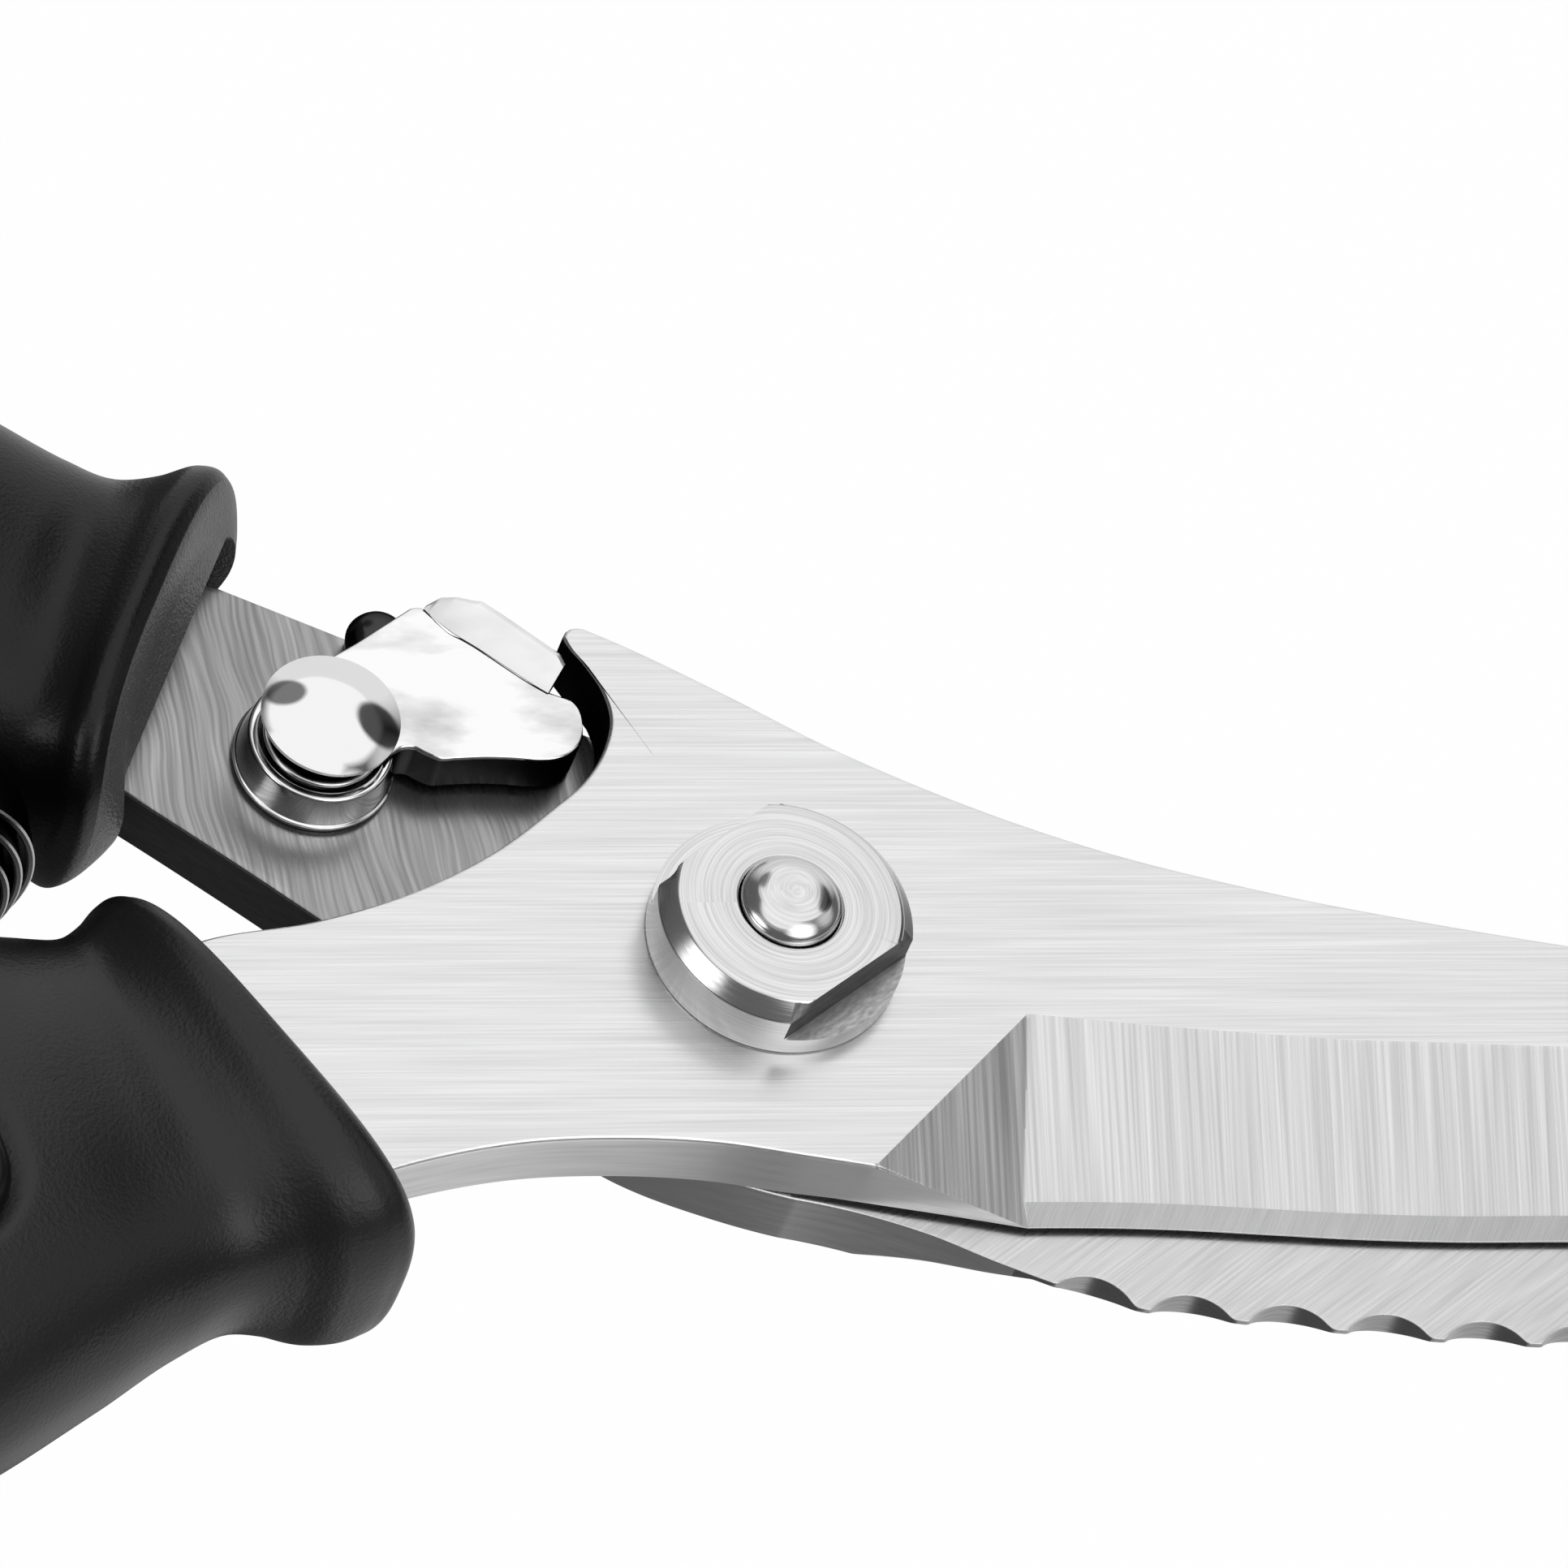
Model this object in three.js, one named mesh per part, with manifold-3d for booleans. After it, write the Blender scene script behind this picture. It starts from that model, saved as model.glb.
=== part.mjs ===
// Spring-loaded poultry shears with a latch, closed and locked.
// Millimetres. X runs to the blade tips, Y from the lower handle to the upper one, and Z out of
// the flat of the blades. The origin is the centre of the pivot bolt's flat head, on its outer face.
import * as THREE from "three";
import { mergeVertices } from "three/addons/utils/BufferGeometryUtils.js";
import Module from "manifold-3d";

const wasm = await Module();
wasm.setup();

// ---- driving dimensions ----
const BLADE = 3.8; // thickness of both blades
const BLADE_GAP = 0.1; // running gap between the blades
const HEAD = { radius: 7, height: 2.2 }; // pivot bolt's flat head
const SEAM = HEAD.height + BLADE; // rear blade's inner face, which all heights below start from
const FRONT_BACK = SEAM + BLADE_GAP; // front blade's inner face
const FACE = FRONT_BACK + BLADE; // front blade's outer face
const PLAY = 0.08; // gap between pieces that touch
const NECK = 6.4; // square neck of the pivot bolt
const JOURNAL = 3.2; // bolt radius where the front blade turns
const THREAD = 2.8; // bolt radius in the nut
const NUT = { radius: 6.75, side: 2.7, height: 3.8, top: 5.95, flat: 5.06, shelf: 1.2 };
const NUT_FLAT_ANGLE = THREE.MathUtils.degToRad(-56); // direction that the lower flat faces
const BOLT_PROUD = 1.15; // bolt end above the nut
const STUD = { x: -21.6, y: 13.5 }; // latch pivot on the rear tang
const LATCH = { bottom: 0.35, top: 3, eye: 4.15, bore: 2.45, flange: 3.1, flangeWall: 0.9 };
const CAP = { radius: 3.67, base: 4.25, rim: 0.35, rise: 0.85 };
const SPRING = { x: -45.6, y: 7.8, radius: 8, length: 11.6, bore: 2.6 };
const PEG = { radius: 2.1, inside: 2.6, sunk: 4.4 }; // spring peg: reach into the spring, and into the grip
const SERRATION = { first: 14.6, pitch: 5.28, count: 14, radius: 3.1, depth: 1.4 };
const GRIP_WALL = 2.2; // soft grip's thickness over the hard core
const INLAY = { floor: 8, groove: 1.1 }; // oval inlay: height of its underside, and the groove round it
const UPPER_INLAY = { x: -66, y: 33.1, degrees: -14, long: 38, wide: 12.5 };
const LOWER_INLAY = { x: -63, y: -19.8, degrees: 14, long: 38, wide: 13 };

// ---- finishes ----
const steel = (color, roughness) => new THREE.MeshStandardMaterial({ color, roughness, metalness: 1 });
const FINISH = {
  satin: steel(0xd8dadb, 0.32),
  turned: steel(0xc4c6c8, 0.28),
  chrome: steel(0xf2f3f4, 0.06),
  spring: steel(0x2a2b2d, 0.35),
  grip: new THREE.MeshStandardMaterial({ color: 0x1c1c1e, roughness: 0.5 }),
  inlay: new THREE.MeshStandardMaterial({ color: 0x17171a, roughness: 0.4 }),
  core: new THREE.MeshStandardMaterial({ color: 0x2b2b2d, roughness: 0.6 }),
};

// ---- solids ----
const held = [];

function solid(geometry) {
  const g = geometry.clone();
  for (const name of Object.keys(g.attributes)) if (name !== "position") g.deleteAttribute(name);
  const merged = mergeVertices(g, 1e-4);
  const triVerts = new Uint32Array(merged.index.array);
  const vertProperties = merged.attributes.position.array;
  const made = new wasm.Manifold(new wasm.Mesh({ numProp: 3, vertProperties, triVerts }));
  held.push(made);
  return made;
}

function geometryOf(manifold) {
  const mesh = manifold.getMesh();
  return new THREE.BufferGeometry()
    .setAttribute("position", new THREE.BufferAttribute(new Float32Array(mesh.vertProperties), 3))
    .setIndex(new THREE.BufferAttribute(new Uint32Array(mesh.triVerts), 1));
}

const cut = (body, ...tools) => tools.reduce((left, tool) => left.subtract(tool), body);
const join = (body, ...others) => others.reduce((sum, other) => sum.add(other), body);

// A plate between two heights, from a closed outline.
function plate(shape, z0, z1, curveSegments = 4) {
  const geometry = new THREE.ExtrudeGeometry(shape, {
    depth: z1 - z0,
    bevelEnabled: false,
    curveSegments,
  });
  return solid(geometry.translate(0, 0, z0));
}

// A closed outline made of runs: a run of two points is a straight line, a longer run is a spline.
function outline(runs) {
  const points = runs.map((run) => run.map(([x, y]) => new THREE.Vector2(x, y)));
  const shape = new THREE.Shape().moveTo(points[0][0].x, points[0][0].y);
  for (const run of points) {
    if (run.length === 2) shape.lineTo(run[1].x, run[1].y);
    else shape.splineThru(run.slice(1));
  }
  return shape;
}

// A round solid about an axis along Z, from radius and height pairs.
function turned(profile, x, y, segments = 32) {
  const points = profile.map(([r, z]) => new THREE.Vector2(r, z));
  return solid(new THREE.LatheGeometry(points, segments).rotateX(Math.PI / 2).translate(x, y, 0));
}

const ring = (inner, outer, z0, z1, x, y, segments) =>
  turned([[inner, z0], [outer, z0], [outer, z1], [inner, z1], [inner, z0]], x, y, segments);
const disc = (radius, z0, z1, x, y, segments) =>
  turned([[0, z0], [radius, z0], [radius, z1], [0, z1]], x, y, segments);

// A closed skin over rings of points that all have the same number of points.
function loft(rings) {
  const n = rings[0].length;
  const positions = rings.flat();
  const index = [];
  for (let i = 0; i + 1 < rings.length; i++)
    for (let j = 0; j < n; j++) {
      const a = i * n + j, b = i * n + ((j + 1) % n);
      index.push(a, b, b + n, a, b + n, a + n);
    }
  const capOf = (start, flip) => {
    const origin = positions[start];
    const u = positions[start + 1].clone().sub(origin).normalize();
    const normal = new THREE.Vector3();
    for (let j = 1; j + 1 < n; j++)
      normal.add(positions[start + j].clone().sub(origin)
        .cross(positions[start + j + 1].clone().sub(origin)));
    const v = normal.normalize().clone().cross(u);
    const flat = Array.from({ length: n }, (_, j) => {
      const d = positions[start + j].clone().sub(origin);
      return new THREE.Vector2(d.dot(u), d.dot(v));
    });
    for (const [a, b, c] of THREE.ShapeUtils.triangulateShape(flat, []))
      index.push(...(flip ? [start + a, start + c, start + b] : [start + a, start + b, start + c]));
  };
  capOf(0, true);
  capOf((rings.length - 1) * n, false);
  const geometry = new THREE.BufferGeometry().setFromPoints(positions).setIndex(index);
  const made = solid(geometry);
  if (made.volume() > 0) return made;
  for (let i = 0; i < index.length; i += 3) [index[i + 1], index[i + 2]] = [index[i + 2], index[i + 1]];
  return solid(geometry.setIndex(index));
}

// Everything on the side of a plane that its normal points to.
function halfSpace(point, normal, size = 260) {
  const turn = new THREE.Quaternion().setFromUnitVectors(
    new THREE.Vector3(0, 0, 1), normal.clone().normalize());
  const box = new THREE.BoxGeometry(size, size, size).translate(0, 0, size / 2);
  return solid(box.applyQuaternion(turn).translate(point.x, point.y, point.z));
}

// A cutter along X: at each station its section is a list of y and z pairs.
const cutterAlongX = (stations) =>
  loft(stations.map(({ x, section }) => section.map(([y, z]) => new THREE.Vector3(x, y, z))));

// Reads a value at x from a list of [x, value] pairs, along straight lines.
function at(table, x) {
  const last = table.length - 1;
  const i = Math.min(Math.max(table.findIndex(([k]) => k > x) - 1, 0), last - 1);
  const k = x >= table[last][0] ? last - 1 : i;
  const [x0, v0] = table[k], [x1, v1] = table[k + 1];
  return v0 + ((v1 - v0) * (x - x0)) / (x1 - x0);
}

// ---- handles: a centre line in the plane of the blades, with half widths and half depths ----
// Each row is [x, y, half width, half depth, direction of the width in degrees].
const UPPER_HANDLE = [
  [-28.4, 18.2, 9.6, 6.4, 63],
  [-28.8, 18.4, 11.0, 7.8, 63],
  [-29.7, 18.9, 11.7, 8.8, 63],
  [-30.9, 19.5, 11.4, 8.8, 63],
  [-32.6, 20.3, 10.2, 7.9, 63],
  [-35.0, 21.4, 9.8, 7.7, 64],
  [-41.0, 24.1, 10.0, 8.2, 66],
  [-50.0, 27.8, 10.9, 9.0, 69],
  [-62.0, 31.8, 11.8, 9.6, 74],
  [-76.0, 35.0, 11.8, 9.8, 80],
  [-92.0, 36.8, 11.0, 9.6, 87],
  [-108.0, 36.9, 10.3, 9.2, 93],
  [-124.0, 35.2, 10.2, 9.0, 99],
  [-136.0, 32.9, 10.4, 8.8, 103],
  [-143.0, 31.2, 9.6, 8.0, 105],
  [-147.5, 30.0, 7.2, 6.0, 105],
  [-149.5, 29.5, 3.6, 3.0, 105],
];
const LOWER_HANDLE = [
  [-27.2, -7.4, 10.6, 6.4, -52],
  [-27.6, -7.6, 12.0, 7.8, -52],
  [-28.6, -8.1, 12.7, 8.8, -53],
  [-29.9, -8.8, 12.4, 8.8, -54],
  [-31.7, -9.7, 11.6, 7.9, -57],
  [-34.2, -10.7, 11.9, 7.7, -62],
  [-40.0, -12.6, 13.3, 8.2, -68],
  [-50.0, -15.9, 14.6, 9.0, -70],
  [-62.0, -19.6, 14.0, 9.6, -74],
  [-76.0, -23.0, 12.6, 9.8, -79],
  [-92.0, -25.3, 11.2, 9.6, -85],
  [-108.0, -25.8, 10.3, 9.2, -91],
  [-124.0, -24.6, 10.2, 9.0, -97],
  [-136.0, -22.6, 10.4, 8.8, -102],
  [-143.0, -21.1, 9.6, 8.0, -104],
  [-147.5, -20.0, 7.2, 6.0, -104],
  [-149.5, -19.5, 3.6, 3.0, -104],
];
const SIDES = 24;
const ROUNDNESS = 2.3; // exponent of the handle's oval section

// The ring of points of one handle section, drawn in by a wall.
function handleRing([x, y, halfWidth, halfDepth, degrees], wall, mid) {
  const turn = THREE.MathUtils.degToRad(degrees);
  const w = Math.max(halfWidth - wall, 0.6), d = Math.max(halfDepth - wall, 0.6);
  return Array.from({ length: SIDES }, (_, i) => {
    const a = (2 * Math.PI * i) / SIDES, c = Math.cos(a), s = Math.sin(a);
    const across = Math.sign(c) * Math.abs(c) ** (2 / ROUNDNESS) * w;
    const up = Math.sign(s) * Math.abs(s) ** (2 / ROUNDNESS) * d;
    return new THREE.Vector3(x + Math.cos(turn) * across, y + Math.sin(turn) * across, mid + up);
  });
}

const handleBody = (rows, wall = 0) => loft(rows.map((row) => handleRing(row, wall, SEAM)));

// ---- rear blade: lower jaw, with the upper handle's tang ----
const REAR_SPINE = [
  [0, -13.1], [6.7, -15.2], [10.5, -17.1], [17.2, -19.75], [22.6, -20.6], [28, -21.25],
  [33.2, -21.85], [38, -22.2], [50, -22.6], [70, -21.9], [90, -19.7], [103, -17.4],
];
const REAR_EDGE = [[24, -6.3], [40, -7.5], [60, -9], [80, -11.5], [95, -14.3], [103, -16.6]];
const UPPER_TANG_TOP = [
  [-112, 40.5], [-92, 41], [-76, 39.2], [-62, 36], [-50, 32.6], [-38, 28.6], [-30, 26.6], [-25, 24.5],
];
const UPPER_TANG_FOOT = [
  [-22.8, 4.2], [-26.5, 7.4], [-31.8, 11.8], [-38, 16.6], [-50, 22.6], [-62, 27], [-76, 30.6],
  [-92, 32.6], [-112, 32.6],
];

function rearOutline() {
  return outline([
    [[-25, 24.5], [-18.5, 21.3]],
    [[-18.5, 21.3], [-7, 15.6], [0, 12.2], [8, 8.6], [13, 4.8], [18, -2], [24, -6.3]],
    REAR_EDGE,
    [[103, -16.6], [103.6, -17.0], [103, -17.4]],
    [...REAR_SPINE].reverse(),
    [[0, -13.1], [-3.3, -12], [-8.7, -9.4], [-12.5, -6], [-16, -2], [-19, 0.9], [-22.8, 4.2]],
    UPPER_TANG_FOOT,
    [[-112, 32.6], [-112, 40.5]],
    UPPER_TANG_TOP,
  ]);
}

// Ground bevel behind the rear blade's cutting edge, on the side away from the front blade.
function rearEdgeBevel() {
  const back = SEAM - BLADE;
  return cutterAlongX([19, 30, 50, 75, 95, 106].map((x) => {
    const edge = x < 24 ? -3.2 : at(REAR_EDGE, Math.min(x, 103));
    const reach = THREE.MathUtils.mapLinear(Math.min(x, 103), 19, 103, 8, 2.2);
    const edgeThickness = 0.4, over = 0.6, past = 4, below = 3;
    const rise = BLADE - edgeThickness, slope = rise / reach;
    const section = [
      [edge - reach - over, back - over * slope], [edge + past, back + rise + past * slope],
      [edge + past, back - below], [edge - reach - over, back - below],
    ];
    return { x, section };
  }));
}

// Steep bevel behind the serrated back of the rear blade.
function rearSpineBevel() {
  const back = SEAM - BLADE;
  return cutterAlongX([3, 12, 38, 60, 80, 104].map((x) => {
    const spine = at(REAR_SPINE, Math.min(x, 103));
    const reach = x < 12 ? 0 : THREE.MathUtils.mapLinear(x, 12, 104, 3.2, 1.2);
    const top = SEAM - 0.35, below = back - 1, out = spine - 3;
    const section = [
      [spine - 0.02, top], [spine + reach, back], [spine + reach, below], [out, below], [out, top],
    ];
    return { x, section };
  }));
}

function serrations() {
  return Array.from({ length: SERRATION.count }, (_, i) => {
    const x = SERRATION.first + i * SERRATION.pitch;
    const y = at(REAR_SPINE, x) + SERRATION.depth - SERRATION.radius;
    return disc(SERRATION.radius, SEAM - BLADE - 1, SEAM + 1, x, y, 28);
  });
}

function rearBlade() {
  const body = plate(rearOutline(), SEAM - BLADE, SEAM, 3);
  const side = NECK + 2 * PLAY;
  const squareHole = solid(new THREE.BoxGeometry(side, side, 12).translate(0, 0, SEAM));
  const studHole = disc(2 + PLAY, SEAM - 6, SEAM + 6, STUD.x, STUD.y);
  return cut(body, squareHole, studHole, rearEdgeBevel(), rearSpineBevel(), ...serrations());
}

// ---- front blade: upper jaw, with the lower handle's tang and the latch notch ----
const FRONT_EDGE = [
  [12, -15.2], [20, -15.4], [25, -15.75], [30, -16.1], [35, -16.3], [41, -16.35], [60, -16.9],
  [80, -17.4], [95, -17.9], [105, -18.3],
];
const SHOULDER = [
  [13, -4.4], [20, -5.2], [30, -6.1], [42, -6.6], [60, -8.2], [80, -11], [95, -14], [105, -17],
];
const LOWER_TANG_TOP = [
  [-112, -21.5], [-92, -21], [-76, -18.6], [-62, -14.8], [-50, -10.4], [-40, -5.4], [-35.5, -2],
  [-30, 0.4],
];
const LOWER_TANG_FOOT = [
  [-20, -12.8], [-25, -14.3], [-32, -16.6], [-40, -18.6], [-50, -21], [-62, -24.2], [-76, -27.4],
  [-92, -29.4], [-112, -29.6],
];
const LIP_TRIM = { x: -4.5, y: 15.2 }; // the notch's lip is cut back to here, clear of the coupled latch

function frontOutline() {
  return outline([
    [[-7, 19.5], [0, 15.4], [5, 12.2], [10, 9.5], [15, 7.2], [20, 5.3], [25, 3.8], [30, 2.5],
      [35, 1.4], [42, 0], [60, -2.8], [80, -7], [95, -12], [104, -16.4]],
    [[104, -16.4], [105.5, -17.6], [105, -18.3]],
    [...FRONT_EDGE].reverse(),
    [[12, -15.2], [5, -13.9], [0, -12.9], [-5, -12], [-10, -11.7], [-15, -11.9], [-20, -12.8]],
    LOWER_TANG_FOOT,
    [[-112, -29.6], [-112, -21.5]],
    LOWER_TANG_TOP,
    [[-30, 0.4], [-24, 1.5], [-18, 3.5], [-14, 5.6], [-10.5, 8.2], [-8.3, 10.1], [-7, 12],
      [-6.35, 14], [-6.6, 15.8], [-7.2, 17.3], [-8, 18.4], [-8.1, 19.1], [-7, 19.5]],
  ]);
}

// The ground bevel: a main facet from the shoulder and a steeper strip at the edge, ended by a
// plunge facet that climbs to the face.
function frontBevel() {
  const strip = 1.3, stripHeight = 0.95, edgeHeight = 0.2, reach = 3, over = 2;
  const slope = (stripHeight - edgeHeight) / strip;
  const bevel = cutterAlongX([0, 13, 20, 30, 42, 60, 80, 95, 108].map((x) => {
    const shoulder = at(SHOULDER, Math.min(x, 104));
    const edge = at(FRONT_EDGE, Math.min(Math.max(x, 12), 104));
    const section = [
      [shoulder, FACE], [edge + strip, FRONT_BACK + stripHeight],
      [edge - reach, FRONT_BACK + edgeHeight - reach * slope], [edge - reach, FACE + over],
      [shoulder, FACE + over],
    ];
    return { x, section };
  }));
  const start = new THREE.Vector3(3.2, -13.5, FACE);
  const top = new THREE.Vector3(13, -4.4, FACE);
  const foot = new THREE.Vector3(12, -15.2, FRONT_BACK + 0.4);
  const normal = top.clone().sub(start).cross(foot.clone().sub(start));
  if (normal.z < 0) normal.negate();
  return bevel.intersect(halfSpace(start, normal));
}

function frontBlade() {
  const body = plate(frontOutline(), FRONT_BACK, FACE, 3);
  const lip = solid(new THREE.BoxGeometry(9, 6, 12).translate(LIP_TRIM.x - 4.5, LIP_TRIM.y + 3, FACE));
  const bore = disc(JOURNAL + PLAY, FRONT_BACK - 4, FACE + 4, 0, 0);
  return cut(body, bore, frontBevel(), lip);
}

// ---- pivot ----
function pivotBolt() {
  const top = FACE + NUT.height + BOLT_PROUD;
  const shank = turned([
    [0, 0], [HEAD.radius - 0.5, 0], [HEAD.radius, 0.5], [HEAD.radius, HEAD.height - PLAY],
    [JOURNAL, HEAD.height - PLAY], [JOURNAL, FACE - PLAY], [THREAD, FACE - PLAY], [THREAD, top - 0.75],
    [THREAD - 0.45, top - 0.2], [THREAD - 0.95, top], [0, top],
  ], 0, 0);
  const neck = new THREE.BoxGeometry(NECK, NECK, BLADE).translate(0, 0, HEAD.height + BLADE / 2);
  return join(shank, solid(neck));
}

function pivotNut() {
  const base = FACE + PLAY / 2, bore = THREAD + PLAY, under = 5.3, pocket = 0.7;
  const body = turned([
    [bore, base + pocket], [under, base + pocket], [under, base], [NUT.radius, base],
    [NUT.radius, base + NUT.side], [NUT.top, base + NUT.height], [bore, base + NUT.height],
    [bore, base + pocket],
  ], 0, 0, 48);
  const flats = [0, Math.PI].map((turn) => solid(new THREE.BoxGeometry(6, 20, 8)
    .translate(NUT.flat + 3, 0, base + NUT.shelf + 4).rotateZ(NUT_FLAT_ANGLE + turn)));
  return cut(body, ...flats);
}

// ---- latch ----
function latchOutline() {
  return outline([
    [[-18.3, 11.6], [-17.7, 12.5], [-16.9, 12.5], [-15.9, 11.95], [-14.7, 11.95]],
    [[-14.7, 11.95], [-9.6, 11.85]],
    [[-9.6, 11.85], [-8.6, 12.15], [-7.85, 12.9], [-7.65, 14.1], [-7.75, 15.2], [-8.2, 15.9]],
    [[-8.2, 15.9], [-13.2, 19.3]],
    [[-13.2, 19.3], [-14.1, 19.9], [-14.8, 21], [-15.3, 21.35], [-15.9, 21.15]],
    [[-15.9, 21.15], [-22.6, 17.2]],
    [[-22.6, 17.2], [-22, 13], [-18.3, 11.6]],
  ]);
}

// The thumb flange: a thin wall that stands along the edge of the lever from its peak to its nose.
function thumbFlange() {
  const base = SEAM + LATCH.top - 0.8, top = SEAM + LATCH.top + LATCH.flange;
  const line = [[-15.4, 20.9, 1.6], [-14.5, 20.1, 0.7], [-12.9, 18.8, 0], [-9.2, 16.2, 0.3]];
  const rings = line.map(([x, y, drop]) => {
    const wallX = 0.58 * LATCH.flangeWall, wallY = 0.81 * LATCH.flangeWall;
    const leanX = x + 0.35, leanY = y + 0.45;
    return [
      new THREE.Vector3(x - wallX, y - wallY, base),
      new THREE.Vector3(x, y, base),
      new THREE.Vector3(leanX, leanY, top - drop),
      new THREE.Vector3(leanX - wallX, leanY - wallY, top - drop),
    ];
  });
  return loft(rings);
}

function latchLever() {
  const z0 = SEAM + LATCH.bottom, z1 = SEAM + LATCH.top;
  const arm = plate(latchOutline(), z0, z1, 3);
  const collarTop = z1 - 0.55;
  const collar = turned(
    [[0, z0], [LATCH.eye, z0], [LATCH.eye - 0.3, collarTop], [0, collarTop]], STUD.x, STUD.y);
  const seat = disc(3.5, z1 - 1.15, z1 + 3, STUD.x, STUD.y);
  const bore = disc(LATCH.bore, z0 - 1, z1 + 3, STUD.x, STUD.y);
  const stop = disc(1.6, z0 + 0.1, z1 - 1, -17.6, 19.7, 24);
  return cut(join(arm, collar, stop, thumbFlange()), seat, bore);
}

function latchStud() {
  const back = SEAM - BLADE, s = SEAM, tail = 0.9;
  return turned([
    [0, back - tail], [2.9, back - tail], [3.4, back - tail + 0.4], [3.4, back - PLAY], [2, back - PLAY],
    [2, s + PLAY / 2], [LATCH.bore - PLAY, s + PLAY / 2], [LATCH.bore - PLAY, s + LATCH.top - 0.4],
    [2.1, s + LATCH.top], [2.1, s + CAP.base - 0.35], [CAP.radius - 0.7, s + CAP.base - 0.2],
    [CAP.radius, s + CAP.base], [CAP.radius, s + CAP.base + CAP.rim],
    [CAP.radius * 0.82, s + CAP.base + CAP.rim + CAP.rise * 0.42],
    [CAP.radius * 0.55, s + CAP.base + CAP.rim + CAP.rise * 0.76],
    [CAP.radius * 0.27, s + CAP.base + CAP.rim + CAP.rise * 0.94], [0, s + CAP.base + CAP.rim + CAP.rise],
  ], STUD.x, STUD.y);
}

const latchWasher = () =>
  ring(LATCH.bore, LATCH.eye + 0.05, SEAM + PLAY / 2, SEAM + LATCH.bottom - PLAY / 2, STUD.x, STUD.y);
const latchSpringRing = () =>
  ring(LATCH.bore + 0.02, 3.2, SEAM + LATCH.top - 1.1, SEAM + LATCH.top - 0.55, STUD.x, STUD.y);
const nutSpringRing = () =>
  ring(JOURNAL + 0.1, 5.1, FACE + PLAY, FACE + 0.6, 0, 0);

// ---- handles ----
// A hard core moulded on the tang, a soft grip moulded over the core, and an oval inlay in the
// front of the grip, with a groove round it.
function handle(rows, tang, inlayAt) {
  const floor = SEAM + INLAY.floor;
  const coreRows = rows.slice(4, -2);
  const skin = handleBody(rows);
  const core = cut(handleBody(coreRows, GRIP_WALL), tang);
  const inlay = skin.intersect(inlayColumn(inlayAt, 0, floor));
  const recess = inlayColumn(inlayAt, INLAY.groove, floor - PLAY);
  const grip = cut(skin, handleBody(coreRows, GRIP_WALL - PLAY), tang, recess);
  return { core, grip, inlay };
}

// The room that a tang takes up inside its handle.
function tangRoom(shape, z0, z1) {
  const grown = 0.15;
  return plate(shape, z0 - grown, z1 + grown, 3);
}

// An oval column through the front of a handle, for the inlay or, grown, for its groove.
function inlayColumn({ x, y, degrees, long, wide }, grown, z0) {
  const height = 8;
  const geometry = new THREE.CylinderGeometry(1, 1, height, 32).rotateX(Math.PI / 2);
  geometry.scale(long / 2 + grown, wide / 2 + grown, 1).rotateZ(THREE.MathUtils.degToRad(degrees));
  return solid(geometry.translate(x, y, z0 + height / 2));
}

// ---- spring: a strip wound into nested turns, smaller towards each handle ----
function springBody() {
  const half = SPRING.length / 2, { bore, radius } = SPRING;
  const steps = [[4.2, half], [5.4, half * 0.84], [6.6, half * 0.64], [radius, half * 0.36]];
  const profile = [[bore, -half], ...steps.map(([r, h]) => [r, -h])];
  profile.push(...steps.reverse(), [bore, half], [bore, -half]);
  const points = profile.map(([r, h]) => new THREE.Vector2(r, h));
  return solid(new THREE.LatheGeometry(points, 32).translate(SPRING.x, SPRING.y, SEAM));
}

function springPeg(side) {
  const end = SPRING.length / 2;
  const near = SPRING.y + side * (end - PEG.inside), far = SPRING.y + side * (end + PEG.sunk);
  const geometry = new THREE.CylinderGeometry(PEG.radius, PEG.radius, Math.abs(far - near), 24);
  return solid(geometry.translate(SPRING.x, (near + far) / 2, SEAM));
}

// ---- the assembly ----
const shears = new THREE.Group();
shears.name = "poultry_shears";

function add(name, manifold, material) {
  const mesh = new THREE.Mesh(geometryOf(manifold), material);
  mesh.name = name;
  shears.add(mesh);
}

const pegs = { upper: springPeg(1), lower: springPeg(-1) };
const pegRoom = (side) => solid(
  new THREE.CylinderGeometry(PEG.radius + PLAY, PEG.radius + PLAY, 2 * (PEG.sunk + PLAY), 24)
    .translate(SPRING.x, SPRING.y + side * (SPRING.length / 2), SEAM));
const springRoom = solid(new THREE.CylinderGeometry(9.2, 9.2, SPRING.length + 0.3, 32)
  .translate(SPRING.x, SPRING.y, SEAM));

const upper = handle(UPPER_HANDLE, tangRoom(rearOutline(), SEAM - BLADE, SEAM), UPPER_INLAY);
const lower = handle(LOWER_HANDLE, tangRoom(frontOutline(), FRONT_BACK, FACE), LOWER_INLAY);

add("rear_blade", cut(rearBlade(), pegRoom(1)), FINISH.satin);
add("front_blade", cut(frontBlade(), pegRoom(-1)), FINISH.satin);
add("pivot_bolt", pivotBolt(), FINISH.turned);
add("pivot_nut", pivotNut(), FINISH.turned);
add("pivot_spring_washer", nutSpringRing(), FINISH.turned);
add("latch_lever", latchLever(), FINISH.chrome);
add("latch_stud", latchStud(), FINISH.chrome);
add("latch_washer", latchWasher(), FINISH.turned);
add("latch_spring_ring", latchSpringRing(), FINISH.chrome);
add("upper_core", cut(upper.core, pegRoom(1), springRoom), FINISH.core);
add("upper_grip", cut(upper.grip, pegRoom(1), springRoom), FINISH.grip);
add("upper_inlay", upper.inlay, FINISH.inlay);
add("lower_core", cut(lower.core, pegRoom(-1), springRoom), FINISH.core);
add("lower_grip", cut(lower.grip, pegRoom(-1), springRoom), FINISH.grip);
add("lower_inlay", lower.inlay, FINISH.inlay);
add("spring_peg_upper", pegs.upper, FINISH.turned);
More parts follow.
